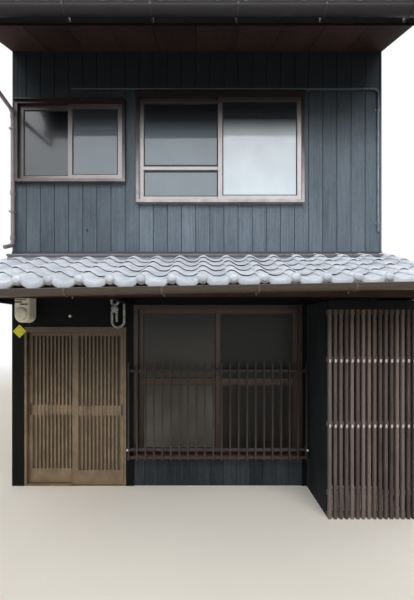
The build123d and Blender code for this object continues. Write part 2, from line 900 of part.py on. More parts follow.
def door_panes(inner, track):
    """The panes of a door sash and the grooves that hold them."""
    pane_y = (track + door_glass_offset, track + door_glass_offset + door_glass_thickness)
    groove_y = (pane_y[0] - glass_clearance, pane_y[1] + glass_clearance)
    edge = (inner[0] - glass_bite, inner[1] + glass_bite)
    panes, grooves = [], []
    for low, high in door_panel_levels():
        grooves.append(block(edge, groove_y, (low - glass_bite, high + glass_bite)))
        clear = (edge[0] + glass_clearance, edge[1] - glass_clearance)
        panes.append(block(clear, pane_y, (low - glass_bite, high + glass_bite - glass_clearance)))
    return panes, grooves


def door_pull(edge, on_right, y_front):
    """The recess in the outer stile that the hand slides the door by."""
    centre = edge - sash_stile / 2 if on_right else edge + sash_stile / 2
    across = (centre - pull_width / 2, centre + pull_width / 2)
    return block(across, (y_front, y_front + pull_depth), (pull_bottom, pull_bottom + pull_height))


def door_roller(x, track):
    """A roller, the pocket that it turns in and the axle through it."""
    centre_z = rail_top + fitting_gap + roller_radius
    pocket_y = (track - roller_pocket_width / 2, track + roller_pocket_width / 2)
    half = roller_pocket_length / 2
    pocket = block((x - half, x + half), pocket_y, (sash_bottom, centre_z + half))
    place = Pos(x, track, centre_z) * Rot(90, 0, 0)
    axle = place * Cylinder(roller_axle_radius, roller_pocket_width + 2 * roller_axle_seat)
    bore = Cylinder(roller_axle_radius + fitting_gap, roller_width)
    return pocket, axle, place * (Cylinder(roller_radius, roller_width) - bore)


def make_box_body():
    """Sides and top of the lattice box, built against the wall."""
    y = (box_front + box_bar_depth + box_rail_depth, front_face)
    left = block((box_left, box_left + box_board), y, (0, box_height))
    right = block((box_right - box_board, box_right), y, (0, box_height))
    top = block((box_left, box_right), y, (box_height - box_board, box_height))
    return left + right + top


def make_box_lattice():
    """The lattice front of the box: upright bars lapped over rails, under a header board."""
    bar_y = (box_front, box_front + box_bar_depth)
    rail_y = (bar_y[1], bar_y[1] + box_rail_depth)
    bar_top = box_height - box_header_height
    pieces = [block((box_left, box_right), (bar_y[0], rail_y[1]), (bar_top, box_height))]
    for z in (*box_rail_places, bar_top - box_rail_height):
        pieces.append(block((box_left, box_right), rail_y, (z, z + box_rail_height)))
    for x in even_places(box_left + box_bar_width / 2, box_right - box_bar_width / 2, box_bar_count):
        pieces.append(block((x - box_bar_width / 2, x + box_bar_width / 2), bar_y, (0, bar_top)))
    return pieces[0] + pieces[1:]


def make_conduit():
    """The thin conduit along the top of the boards and down their right side."""
    y = front_face - fitting_gap - conduit_radius
    left, right = -half_width + conduit_left_inset, half_width - conduit_right_inset
    top, foot = roof_spring_height - conduit_drop, ground_storey_height + conduit_foot_rise
    points = [(left, y, top), (right, y, top), (right, y, foot)]
    return tube_along(points, conduit_radius, conduit_bend_radius, conduit_sides)


def make_meter():
    """The electricity meter, round at its foot and chamfered at its front, with a round window."""
    radius = meter_width / 2
    centre_z = meter_bottom + radius
    outline = Pos(0, centre_z) * Circle(radius) + Pos(0, centre_z + (meter_height - radius) / 2) * Rectangle(
        meter_width, meter_height - radius
    )
    body = extrude(Plane.XZ * outline, meter_depth)
    body = chamfer(body.faces().sort_by(Axis.Y)[0].edges(), meter_edge)
    glass_place = Pos(0, -meter_depth - meter_window_depth / 2, centre_z + meter_window_rise) * Rot(90, 0, 0)
    body += glass_place * Cylinder(meter_window_radius, meter_window_depth)
    return Pos(-half_width + meter_inset, front_face, 0) * body


def make_bell_button():
    """The round call button over the door."""
    x = door_left + button_inset
    plate_place = Pos(x, panel_face - button_plate_depth / 2, button_height) * Rot(90, 0, 0)
    knob_place = Pos(x, panel_face - button_plate_depth - button_depth / 2, button_height) * Rot(90, 0, 0)
    plate = Cylinder(button_plate_radius, button_plate_depth)
    return plate_place * plate + knob_place * Cylinder(button_radius, button_depth)


def make_corner_tag():
    """The plain square tag that hangs on its corner on the left post."""
    plate = Rot(0, 45, 0) * Box(tag_side, tag_thickness, tag_side)
    return Pos(-half_width + tag_inset, front_face - tag_thickness / 2, tag_height) * plate


def make_service_fitting():
    """The cable anchor beside the door: a body on an arm, an eye on its top and a hooked loop under it."""
    x = door_right - fitting_inset
    y = panel_face - fitting_standoff
    top = fitting_bottom + fitting_body_height
    body = Pos(x, y, (fitting_bottom + top) / 2) * Cylinder(fitting_body_radius, fitting_body_height)
    middle = (fitting_bottom + top) / 2
    arm_z = (middle - fitting_arm_height / 2, middle + fitting_arm_height / 2)
    body += block((x - fitting_arm_width / 2, x + fitting_arm_width / 2), (y, panel_face), arm_z)
    eye = Circle(fitting_eye_radius) + Pos(0, -fitting_eye_rise / 2) * Rectangle(
        2 * fitting_eye_radius, fitting_eye_rise
    )
    eye -= Circle(fitting_eye_hole_radius)
    eye_place = Plane(origin=(x, y, top + fitting_eye_rise), z_dir=(0, -1, 0))
    body += extrude(eye_place * eye, fitting_eye_thickness / 2, both=True)
    right = x + fitting_loop_width
    foot = fitting_bottom - fitting_loop_drop
    points = [
        (x, y, fitting_bottom),
        (x, y, foot),
        (right, y, foot),
        (right, y, fitting_bottom + fitting_loop_rise),
    ]
    return body + tube_along(points, fitting_tube_radius, fitting_loop_bend_radius, fitting_tube_sides)


def save(name, piece):
    """Writes one piece, or a list of like pieces, as one file."""
    solids = piece if isinstance(piece, list) else [piece]
    shape = solids[0] if len(solids) == 1 else Compound(children=solids)
    export_step(shape, f"parts/{name}.step")


# Levels that follow from the sizes and the roof's slope
plate_top_low = roof_height(front_wall_outer, roof_spring_height)
plate_bottom = plate_top_low - wall_thickness
eave_gutter_y = front_face - roof_projection - eave_gutter_reach
eave_fascia_top = roof_height(front_face - roof_projection, roof_spring_height) + rafter_rise
eave_gutter_height = eave_fascia_top - eave_gutter_drop
pent_top_height = ground_storey_height - pent_drop
pent_spring = pent_top_height - pent_rafter_rise - pent_deck_rise
pent_fascia_face = front_face - pent_projection + tile_lip_overhang
pent_fascia_top = roof_height(pent_fascia_face, pent_spring) + pent_rafter_rise + pent_deck_rise / 2
pent_gutter_y = front_face - pent_projection - pent_gutter_reach
pent_gutter_height = pent_fascia_top - pent_gutter_drop
pent_purlin_low = roof_height(front_face - pent_arm_length, pent_spring)
pent_arm_bottom = pent_purlin_low - pent_arm_height - pent_purlin_rise
box_height = pent_arm_bottom - box_top_gap
rail_top = door_sill + track_rib_height
sash_bottom = door_sill + sash_clearance
sash_top = door_height - door_head - sash_clearance
sash_width = (door_width - 2 * door_jamb - 2 * sash_clearance + sash_meeting_stile) / 2

os.makedirs("parts", exist_ok=True)
save("ground_floor", make_ground_floor())
save("party_wall_left", make_party_wall(-1))
save("party_wall_right", make_party_wall(1))
save("front_posts", make_front_posts())
save("front_wall_over_door", make_front_panel(door_left, door_right, door_height, ground_storey_height))
save("front_wall_below_window", make_front_panel(window_left, window_right, 0, ground_window_sill))
save("front_wall_over_window", make_front_panel(window_left, window_right, window_top, ground_storey_height))
bay_left = window_right + bay_post_width
save("front_wall_behind_lattice", make_front_panel(bay_left, right_post_left, 0, ground_storey_height))
save("upper_front_wall", make_upper_front_wall())
save("rear_wall", make_rear_wall())
save("front_boards", make_front_boards())
save("rear_boards", make_rear_boards())
save("upper_floor", make_upper_floor())
save("floor_joists", make_floor_joists())
save("roof_beams", make_roof_beams())
save("roof_rafters", make_roof_rafters())
save("roof_deck", make_roof_deck())
save("roof_tiles", make_roof_tiles())
save("roof_ridge", make_roof_ridge())
save("eave_boards", make_eave_boards())
save("eave_gutters", make_eave_gutters())
save("gutter_hooks", make_gutter_hooks())
save("downpipe", make_downpipe())
save("pent_roof_frame", make_pent_roof_frame())
save("pent_roof_rafters", make_pent_roof_rafters())
save("pent_roof_deck", make_pent_roof_deck())
save("pent_roof_tiles", make_pent_roof_tiles())
save("pent_flashing", make_pent_flashing())
save("pent_gutter", make_pent_gutter())

upper_frames, upper_sashes, upper_panes = make_upper_windows()
save("upper_window_frames", upper_frames)
save("upper_window_sashes", upper_sashes)
save("upper_window_glass", upper_panes)
ground_frame, ground_sashes, ground_panes = make_ground_window()
save("ground_window_frame", ground_frame)
save("ground_window_sashes", ground_sashes)
save("ground_window_glass", ground_panes)
rear_frames, rear_sashes, rear_panes = make_rear_windows()
save("rear_window_frames", rear_frames)
save("rear_window_sashes", rear_sashes)
save("rear_window_glass", rear_panes)

save("window_guard", make_window_guard())
save("door_frame", make_door_frame())
outer_track, inner_track = track_places()
left_edge = door_left + door_jamb + sash_clearance
right_edge = door_right - door_jamb - sash_clearance - sash_width
left_sash, left_panes = make_door_sash(left_edge, inner_track, False)
right_sash, right_panes = make_door_sash(right_edge, outer_track, True)
save("door_sash_left", left_sash)
save("door_glass_left", left_panes)
save("door_sash_right", right_sash)
save("door_glass_right", right_panes)
save("lattice_box_body", make_box_body())
save("lattice_box_front", make_box_lattice())
save("electric_meter", make_meter())
save("conduit", make_conduit())
save("service_fitting", make_service_fitting())
save("bell_button", make_bell_button())
save("corner_tag", make_corner_tag())
print("door travel", right_edge - left_edge)
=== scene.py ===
"""Looks of a machiya townhouse: tiles, boards, glazing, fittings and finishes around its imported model.

Everything is in metres in the model's own frame: +Z up, +Y from the street to the back, +X to the right.
"""
import logging
import math
from dataclasses import dataclass, field
from enum import Enum
from functools import cache

import bmesh
import bpy
import numpy as np
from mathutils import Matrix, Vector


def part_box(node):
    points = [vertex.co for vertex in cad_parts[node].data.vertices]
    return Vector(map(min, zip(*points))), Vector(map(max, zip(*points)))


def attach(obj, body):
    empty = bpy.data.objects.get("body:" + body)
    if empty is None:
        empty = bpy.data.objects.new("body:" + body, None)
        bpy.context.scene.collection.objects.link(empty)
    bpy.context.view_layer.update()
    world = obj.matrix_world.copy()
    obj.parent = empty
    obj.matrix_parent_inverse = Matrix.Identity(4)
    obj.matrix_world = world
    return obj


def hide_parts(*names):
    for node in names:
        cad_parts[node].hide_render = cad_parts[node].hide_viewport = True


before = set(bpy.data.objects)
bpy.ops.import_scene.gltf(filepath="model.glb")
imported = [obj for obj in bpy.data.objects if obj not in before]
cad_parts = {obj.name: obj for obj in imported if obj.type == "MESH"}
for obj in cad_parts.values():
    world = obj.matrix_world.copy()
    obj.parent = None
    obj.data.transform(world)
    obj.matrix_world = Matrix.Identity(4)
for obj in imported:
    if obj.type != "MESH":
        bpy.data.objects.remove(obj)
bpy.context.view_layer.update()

HOUSE = "house"
LEFT_DOOR = "left_door"
RIGHT_DOOR = "right_door"
MM = 0.001
# Half the width in metres that a ramp along X spans.
RAMP_HALF = 2.5
# How far the boards' outer face lies from the middle of the house.
WALL_FACE = 2.955
ROOF_SLOPE = 0.45
# Edges sharper than this many degrees are eased.
EASE_ANGLE = 35
LOG = logging.getLogger("townhouse")

Array = np.ndarray
Socket = bpy.types.NodeSocket
Colour = tuple[float, float, float, float]
Box = tuple[Array, Array]


def box_of(node: str) -> Box:
    """Gives the low and the high corner of a node, in metres."""
    return tuple(np.array(corner, dtype=float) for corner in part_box(node))


def points_of(node: str) -> Array:
    """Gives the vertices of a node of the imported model, one in each row."""
    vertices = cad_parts[node].data.vertices
    points = np.empty(len(vertices) * 3)
    vertices.foreach_get("co", points)
    return points.reshape(-1, 3)


def rows(*columns: Array | float) -> Array:
    """Sets coordinates side by side on a last axis, each an array or one number for all."""
    return np.stack(np.broadcast_arrays(*columns), axis=-1)


def linear(hex_colour: str) -> Colour:
    """Turns an sRGB hex colour into the linear colour, with an alpha of one, that shaders take."""
    values = [int(hex_colour[i : i + 2], 16) / 255 for i in (1, 3, 5)]
    return (*[v / 12.92 if v <= 0.04045 else ((v + 0.055) / 1.055) ** 2.4 for v in values], 1.0)


def grey(level: float) -> Colour:
    """Writes a number as a grey, for a ramp."""
    return (level, level, level, 1.0)


@dataclass
class Shade:
    """A node tree in the making. A material's has its shader and the object's own coordinates too."""

    tree: bpy.types.NodeTree
    shader: bpy.types.Node | None = None
    place: Socket | None = None

    def add(self, kind: str, inputs: dict | None = None, out: int | str = 0, **settings) -> Socket | None:
        """Adds a shader node with its settings, values and links.

        Args:
            kind: Blender's name of the node's type, after ShaderNode.
            inputs: input name or number to a value, or to the output socket that feeds it.
            out: name or number of the output that is wanted.
            settings: the node's own properties.

        Returns:
            The output that is wanted, or None from a node without outputs.
        """
        node = self.tree.nodes.new("ShaderNode" + kind)
        for key, value in settings.items():
            setattr(node, key, value)
        for key, value in (inputs or {}).items():
            if isinstance(value, Socket):
                self.tree.links.new(value, node.inputs[key])
            else:
                node.inputs[key].default_value = value
        return node.outputs[out] if node.outputs else None

    def feed(self, socket: str, source: Socket) -> None:
        """Links an output to a socket of the shader."""
        self.tree.links.new(source, self.shader.inputs[socket])

    def along_x(self, stops: list[tuple[float, Colour]], blend: str) -> Socket:
        """Gives a colour for each place along X, by a ramp from one side of the house to the other.

        Args:
            stops: where along X each colour stands or begins, in metres, from left to right.
            blend: LINEAR between the stops, or CONSTANT from each to the next.

        Returns:
            The ramp's colour.
        """
        x = self.add("SeparateXYZ", {0: self.place})
        share = self.add("MapRange", {"Value": x, "From Min": -RAMP_HALF, "From Max": RAMP_HALF})
        colour = self.add("ValToRGB", {0: share})
        ramp = colour.node.color_ramp
        ramp.interpolation = blend
        for i, (start, tint) in enumerate(stops):
            at = (start + RAMP_HALF) / (2 * RAMP_HALF)
            stop = ramp.elements.new(at) if i else ramp.elements[0]
            stop.position, stop.color = at, tint
        ramp.elements.remove(ramp.elements[-1])
        return colour

    def seen_ray(self) -> Socket:
        """Gives one for rays from the camera, off gloss or through glass, and nought for the rest.

        Returns:
            The one or nought.
        """
        seen = self.add("LightPath", out="Is Camera Ray")
        rays = seen.node.outputs
        for ray in ("Is Glossy Ray", "Is Transmission Ray"):
            seen = self.add("Math", {0: seen, 1: rays[ray]}, operation="MAXIMUM")
        return seen


class Grain(Enum):
    """The way that a timber's grain runs."""

    UP = (1.0, 1.0, 0.0)
    ALONG_X = (0.0, 1.0, 1.0)
    ALONG_Y = (1.0, 0.0, 1.0)


@dataclass(frozen=True)
class Finish:
    """What every finish has: a name, a light and a dark colour in sRGB hex and the gloss of its surface.

    Two heights in metres paint the shade of an eave or the pent roof: below the first the surface has its
    light colour, and above the second its dark colour. Places along X in metres give the share of the light
    colour kept there, from 0 to 1, which darkens the surface towards a side.
    """

    name: str
    colour: str
    dark: str
    roughness: float
    metallic: float = 0.0
    sheen: float = 0.5
    painted_shade_heights: tuple[float, float] | None = None
    light_share_along_x: tuple[tuple[float, float], ...] = ()

    def build(self) -> bpy.types.Material:
        """Makes the material: its shader, and the pattern of its kind of finish.

        Returns:
            The material.
        """
        material = bpy.data.materials.new(self.name)
        material.use_nodes = True
        shade = Shade(material.node_tree)
        shade.tree.nodes.clear()
        values = {"Metallic": self.metallic, "Roughness": self.roughness, "Specular IOR Level": self.sheen}
        surface = shade.add("BsdfPrincipled", values)
        shade.add("OutputMaterial", {"Surface": surface})
        shade.shader, shade.place = surface.node, shade.add("TexCoord", out="Object")
        self.pattern(shade)
        return material

    def pattern(self, shade: Shade) -> None:
        """Adds the pattern, which each kind of finish has its own of."""
        raise NotImplementedError

    def tint(self, shade: Shade, level: Socket, light: Socket | Colour) -> None:
        """Colours the shader from dark to light, with painted shade under an eave, and darker towards a side
        where given.

        Args:
            shade: the material in the making.
            level: share of the light colour, from 0 to 1.
            light: the light colour.
        """
        # A share of the light colour along X: on the window metal this is painted shade and reflection of a
        # dark neighbour; on the boards it is only darker towards the sides.
        if self.light_share_along_x:
            share = shade.along_x([(x, grey(share)) for x, share in self.light_share_along_x], "LINEAR")
            level = shade.add("Math", {0: level, 1: share}, operation="MULTIPLY")
        # Painted shade: dark above the heights where an eave or the pent roof shades the surface.
        if self.painted_shade_heights:
            low, high = self.painted_shade_heights
            values = {"From Min": low, "From Max": high, "To Min": 1.0, "To Max": 0.0}
            fade = shade.add("MapRange", {"Value": shade.add("SeparateXYZ", {0: shade.place}, 2), **values})
            level = shade.add("Math", {0: level, 1: fade}, operation="MULTIPLY")
        values = {0: level, 6: linear(self.dark), 7: light}
        shade.feed("Base Color", shade.add("Mix", values, 2, data_type="RGBA"))


@dataclass(frozen=True)
class Timber(Finish):
    """Sawn softwood: long narrow grain, short speckle, broad patches, knots and a tone for each board.

    Boards that the mesh doesn't part are parted by the pattern, with a dark seam and a tone for each.
    """

    grain: Grain = Grain.UP
    grain_width_mm: float = 7.0
    grain_length_mm: float = 420.0
    patch_mm: float = 260.0
    knots: float = 0.0
    knot_spacing_mm: float = 260.0
    grain_strength: float = 0.9
    patch_strength: float = 0.7
    tone_strength: float = 0.35
    bump_mm: float = 0.6
    board_mm: float = 0.0
    board_axis: int = 0
    seam_mm: float = 5.0
    level: float = 0.6
    board_shift: float = 9.0

    def pattern(self, shade: Shade) -> None:
        """Adds the grain: noise stretched along the board, of which each board reads another part.

        Args:
            shade: the material in the making.
        """
        tone, seam = shade.add("Attribute", out="Fac", attribute_name="tone"), None
        if self.board_mm:
            tone, seam = self.part_boards(shade)
        apart = shade.add("Math", {0: tone, 1: self.board_shift}, operation="MULTIPLY")
        shift = shade.add("CombineXYZ", {0: apart, 1: apart, 2: apart})
        own = shade.add("VectorMath", {0: shade.place, 1: shift}, operation="ADD")
        fine = self.stretched_noise(shade, own, self.grain_width_mm, self.grain_length_mm)
        speck = self.stretched_noise(shade, own, self.grain_width_mm * 0.6, self.grain_length_mm / 9)
        patch = self.stretched_noise(shade, own, self.patch_mm, self.patch_mm * 2)
        level, strengths = self.level, (self.grain_strength, self.grain_strength * 0.7, self.patch_strength)
        for source, strength in zip((fine, speck, patch), strengths):
            centred = shade.add("Math", {0: source, 1: 0.5}, operation="SUBTRACT")
            level = shade.add("Math", {0: centred, 1: strength, 2: level}, operation="MULTIPLY_ADD")
        values = {0: tone, 1: self.tone_strength, 2: level}
        level = shade.add("Math", values, operation="MULTIPLY_ADD", use_clamp=True)
        for mark in (self.knot_mark(shade, own), seam):
            if mark is not None:
                level = shade.add("Math", {0: level, 1: mark}, operation="MULTIPLY")
        self.tint(shade, level, linear(self.colour))
        values = {"Height": fine, "Strength": 0.7, "Distance": self.bump_mm * MM}
        shade.feed("Normal", shade.add("Bump", values))

    def stretched_noise(self, shade: Shade, place: Socket, width_mm: float, length_mm: float) -> Socket:
        """Noise about 0.5, whose grains are as wide and long as given, along the timber's grain.

        Args:
            shade: the material in the making.
            place: the coordinates.
            width_mm: size across the grain.
            length_mm: size along the grain.

        Returns:
            The noise.
        """
        across, along = 1 / (width_mm * MM), 1 / (length_mm * MM)
        scale = [along + (across - along) * axis for axis in self.grain.value]
        stretched = shade.add("Mapping", {"Vector": place, "Scale": scale})
        return shade.add("TexNoise", {"Vector": stretched, "Scale": 1.0, "Detail": 4.0, "Distortion": 0.5})

    def knot_mark(self, shade: Shade, place: Socket) -> Socket | None:
        """Small dark knots in the cells of a Voronoi pattern.

        Args:
            shade: the material in the making.
            place: the coordinates.

        Returns:
            A factor that falls inside a knot, or None for timber without knots.
        """
        if not self.knots:
            return None
        scale = [1 / (self.knot_spacing_mm * MM) * (0.5 + 0.5 * axis) for axis in self.grain.value]
        spread = shade.add("Mapping", {"Vector": place, "Scale": scale})
        cell = shade.add("TexVoronoi", {"Vector": spread, "Scale": 1.0}, "Distance")
        values = {"Value": cell, "From Min": 0.02, "From Max": 0.06, "To Min": 1 - self.knots, "To Max": 1.0}
        return shade.add("MapRange", values)

    def part_boards(self, shade: Shade) -> tuple[Socket, Socket]:
        """Parts a sheet into boards of one width.

        Args:
            shade: the material in the making.

        Returns:
            A tone for each board from -0.5 to 0.5, and a factor that is low in the seams.
        """
        axis = shade.add("SeparateXYZ", {0: shade.place}, self.board_axis)
        count = shade.add("Math", {0: axis, 1: 1 / (self.board_mm * MM)}, operation="MULTIPLY")
        number = shade.add("Math", {0: count}, operation="FLOOR")
        part = shade.add("Math", {0: count}, operation="FRACT")
        chance = shade.add("TexWhiteNoise", {"W": number}, "Value", noise_dimensions="1D")
        tone = shade.add("Math", {0: chance, 1: 0.5}, operation="SUBTRACT")
        edge = shade.add("Math", {0: part, 1: 0.5}, operation="PINGPONG")
        width = self.seam_mm / self.board_mm
        values = {"Value": edge, "From Min": width / 4, "From Max": width / 2, "To Min": 0.1, "To Max": 1.0}
        return tone, shade.add("MapRange", values)


@dataclass(frozen=True)
class Mottled(Finish):
    """A moulded, cast, fired or trowelled surface: soft mottling, a tone for each piece and fine relief."""

    mottle_mm: float = 60.0
    mottle_strength: float = 0.5
    tone_strength: float = 0.0
    relief_mm: float = 0.2
    relief_scale_mm: float = 6.0
    streak_mm: float = 0.0
    gloss_spread: float = 0.08

    def pattern(self, shade: Shade) -> None:
        """Adds the mottling: broad noise from dark to light, and streaks that run down where it weathers.

        Args:
            shade: the material in the making.
        """
        values = {"Vector": shade.place, "Scale": 1 / (self.mottle_mm * MM), "Detail": 6.0}
        broad = shade.add("TexNoise", values)
        values = {"Vector": shade.place, "Scale": 1 / (self.relief_scale_mm * MM), "Detail": 2.0}
        fine = shade.add("TexNoise", values)
        if self.streak_mm:
            wide = self.streak_mm * MM
            down = shade.add("Mapping", {"Vector": shade.place, "Scale": (1 / wide, 1 / wide, 0.08 / wide)})
            streak = shade.add("TexNoise", {"Vector": down, "Scale": 1.0, "Detail": 4.0})
            broad = shade.add("Math", {0: broad, 1: streak}, operation="ADD")
            broad = shade.add("Math", {0: broad, 1: 0.5}, operation="MULTIPLY")
        values = {"From Min": 0.3, "From Max": 0.7, "To Min": 1 - self.mottle_strength, "To Max": 1.0}
        spread = shade.add("MapRange", {"Value": broad, **values})
        tone = shade.add("Attribute", out="Fac", attribute_name="tone")
        values = {0: tone, 1: self.tone_strength, 2: spread}
        level = shade.add("Math", values, operation="MULTIPLY_ADD", use_clamp=True)
        self.tint(shade, level, linear(self.colour))
        dull, bright = self.roughness - self.gloss_spread, self.roughness + self.gloss_spread
        shade.feed("Roughness", shade.add("MapRange", {"Value": broad, "To Min": dull, "To Max": bright}))
        values = {"Height": fine, "Strength": 0.5, "Distance": self.relief_mm * MM}
        shade.feed("Normal", shade.add("Bump", values))


@dataclass(frozen=True)
class Glazing(Finish):
    """Window glass, a little cloudy. Each pane of a node has its own tint and frosting.

    Frosted glass is rough on its inner side: it scatters the light and hides the room. The outer face of
    every pane is smooth, and mirrors the sky over the street. Panes are given as start along X in metres,
    tint, roughness, share of light passed and mirroring.
    """

    panes: tuple[tuple[float, str, float, float, float], ...] = ((-RAMP_HALF, "#dfe8ec", 0.0, 1.0, 1.0),)
    ior: float = 1.52
    coat_ior: float = 1.5
    coat_roughness: float = 0.05
    ripple_mm: float = 160.0
    ripple_depth_mm: float = 1.5
    cloud_mm: float = 420.0
    cloud: float = 0.12

    def pattern(self, shade: Shade) -> None:
        """Adds the panes. A number that differs between panes comes by a ramp, and is set once otherwise.

        Args:
            shade: the material in the making.
        """
        inputs = shade.shader.inputs
        inputs["IOR"].default_value = self.ior
        inputs["Coat IOR"].default_value = self.coat_ior
        inputs["Coat Roughness"].default_value = self.coat_roughness
        for number, socket in ((2, "Roughness"), (3, "Transmission Weight"), (4, "Coat Weight")):
            if len({pane[number] for pane in self.panes}) == 1:
                inputs[socket].default_value = self.panes[0][number]
            else:
                stops = [(pane[0], grey(pane[number])) for pane in self.panes]
                shade.feed(socket, shade.along_x(stops, "CONSTANT"))
        tint = shade.along_x([(pane[0], linear(pane[1])) for pane in self.panes], "CONSTANT")
        values = {"Vector": shade.place, "Scale": 1 / (self.cloud_mm * MM), "Detail": 3.0}
        cloud = shade.add("TexNoise", values)
        values = {"From Min": 0.35, "From Max": 0.65, "To Min": 1 - self.cloud, "To Max": 1.0}
        self.tint(shade, shade.add("MapRange", {"Value": cloud, **values}), tint)
        values = {"Vector": shade.place, "Scale": 1 / (self.ripple_mm * MM), "Detail": 0.0}
        wave = shade.add("TexNoise", values)
        values = {"Height": wave, "Strength": 0.25, "Distance": self.ripple_depth_mm * MM}
        shade.feed("Coat Normal", shade.add("Bump", values))


# Smoked clay: silver-grey carbon skin, each tile a little lighter or darker; the pantiles get painted shade
# under their noses.
TILE = Mottled(
    "smoked_clay_tile", "#e3e6ec", "#8d939b", 0.42, mottle_mm=90, mottle_strength=0.4, tone_strength=0.25
)
# Cedar boards under a worn blue-grey stain: fine pale grain, small dark knots, uneven between boards.
# Painted shade: the boards turn dark under the main eave. Along X they are lighter in the middle than at the
# sides.
BOARDS = Timber(
    "blue_grey_stained_cedar", "#7f8b96", "#1f252b", 0.7, sheen=0.2, painted_shade_heights=(3.72, 4.42), knots=0.85,
    light_share_along_x=((-2.0, 0.6), (-0.9, 0.68), (-0.55, 1.0), (0.9, 1.0), (1.3, 0.84), (2.0, 0.84)),
    grain_width_mm=8, level=0.74, tone_strength=0.18, patch_strength=0.5,
)
# Softwood under dark navy stain, as posts, panels and boards: nearly black, and little grain shows.
DARK_TIMBER = Timber(
    "navy_stained_softwood", "#181816", "#060606", 0.65, sheen=0.1, grain_width_mm=9, level=0.45
)
DARK_BOARDS = Timber(
    "navy_stained_boarding", "#474d53", "#121517", 0.65, sheen=0.15, grain_width_mm=9, level=0.5,
    board_mm=145, seam_mm=7,
)
BOX_BOARDS = Timber(
    "navy_stained_box_side", "#3b4247", "#0e1012", 0.65, sheen=0.1, grain_width_mm=9, level=0.5,
    board_mm=145, board_axis=1, seam_mm=6,
)
DARK_TIMBER_X = Timber(
    "navy_stained_panel", "#181a1b", "#070708", 0.65, sheen=0.1, grain=Grain.ALONG_X, level=0.45
)
# Bare softwood soffit boards gone red-brown in the shade.
SOFFIT = Timber(
    "weathered_soffit_boards", "#503b35", "#1b1412", 0.8, sheen=0.15, grain=Grain.ALONG_Y,
    grain_width_mm=14, tone_strength=0.3, level=0.45,
)
# Pent roof boards, brown in the same shade.
PENT_BOARDS = Timber("weathered_pent_boards", "#41302b", "#17100e", 0.8, sheen=0.15, grain=Grain.ALONG_X)
# The board behind the gutter and the barge boards, painted nearly black as the shade that it lies in.
FASCIA = Timber(
    "fascia_board_painted_shade", "#1b1718", "#090808", 0.9, sheen=0.02, grain=Grain.ALONG_X, level=0.4
)
# Planed softwood indoors, kept from the weather: warm brown, with its grain plain to see.
ROOF_TIMBER = Timber("planed_roof_timber", "#7a5a40", "#3c2a1c", 0.75, grain=Grain.ALONG_Y)
FLOOR_TIMBER = Timber(
    "planed_floor_boards", "#a98058", "#6a4a2e", 0.55, grain=Grain.ALONG_X, board_mm=120, board_axis=1,
    seam_mm=3,
)
# Unpainted bars gone grey-brown in the weather.
# Painted shade: the bars turn darker towards the top, where the roof above shades them.
LATTICE = Timber(
    "grey_brown_lattice_bars", "#7e716a", "#2f2824", 0.75, sheen=0.25, painted_shade_heights=(1.3, 2.9),
    grain_width_mm=6, tone_strength=0.6,
)
# Lime plaster and mortar: matt, chalky and uneven, with faint runs of rain on the walls.
PLASTER = Mottled(
    "lime_plaster", "#b9b1a3", "#8f877a", 0.85, mottle_mm=500, relief_mm=0.5, streak_mm=120
)
BED_MORTAR = Mottled("tile_bedding_mortar", "#a2a4a8", "#7c7e82", 0.8, mottle_mm=80, relief_mm=0.4)
MORTAR = Mottled("trowelled_mortar", "#a7a196", "#8a847a", 0.85, mottle_mm=300, relief_mm=0.4)
# The flat tiles over the mortar, dull and stained by the wall above them.
HEAD_TILE = Mottled("stained_head_tile", "#7e8085", "#54565b", 0.6, mottle_mm=90, tone_strength=0.3)
# Moulded rain goods: even colour, soft sheen; the lower gutter is browner, and the eave gutter greyer and
# painted darker as the shade it hangs in.
GUTTER = Mottled("brown_moulded_gutter", "#50423a", "#352a25", 0.4, mottle_mm=260, streak_mm=60)
EAVE_GUTTER = Mottled(
    "grey_brown_moulded_gutter", "#282529", "#19171a", 0.45, sheen=0.3, mottle_mm=260, streak_mm=60
)
RAIN_PIPE = Mottled("mauve_grey_moulded_pipe", "#8d8085", "#6f6368", 0.4, mottle_mm=150)
# Coated sheet and steel: dull paint over metal; the hooks and the conduit are painted darker where the eave
# shades them.
HOOK = Mottled("dull_coated_steel", "#6f645d", "#2d2829", 0.45, 0.2, painted_shade_heights=(2.6, 4.3), mottle_mm=20)
FLASHING = Mottled("brown_coated_sheet", "#423f44", "#29262b", 0.5, 0.1, mottle_mm=180)
CONDUIT = Mottled("grey_coated_tube", "#8b969f", "#343a40", 0.45, 0.2, painted_shade_heights=(4.1, 4.3), mottle_mm=80)
# Bronze anodised extrusions: satin metal, sashes faded paler than their frames.
# Painted shade: both turn dark at the top under the eave, and darker towards the left as painted shade and
# reflection of the dark neighbour.
FRAME_METAL = Mottled(
    "bronze_anodised_frame", "#b9afae", "#251e1d", 0.4, 0.3, painted_shade_heights=(3.15, 3.75), mottle_mm=150,
    relief_mm=0.03, light_share_along_x=((-2.0, 0.1), (-1.85, 0.3), (-0.75, 0.6), (-0.6, 0.95), (1.1, 0.95)),
)
SASH_METAL = Mottled(
    "faded_bronze_sash", "#cbc2c3", "#332b2a", 0.4, 0.3, painted_shade_heights=(3.8, 4.25), mottle_mm=150,
    mottle_strength=0.25, light_share_along_x=(
        (-1.95, 0.08), (-1.86, 0.14), (-1.42, 0.42), (-0.8, 0.52), (-0.6, 0.72), (0.25, 0.76), (1.1, 0.9)
    ),
)
# The ground window's frame and sashes: the same bronze, brown and painted dark as the pent roof's shade.
SHADED_GROUND_FRAME_METAL = Mottled("bronze_frame_painted_shade", "#372a24", "#211814", 0.4, 0.25, mottle_mm=120)
SHADED_GROUND_SASH_METAL = Mottled("bronze_sash_painted_shade", "#46342b", "#2c201a", 0.4, 0.25, mottle_mm=120)
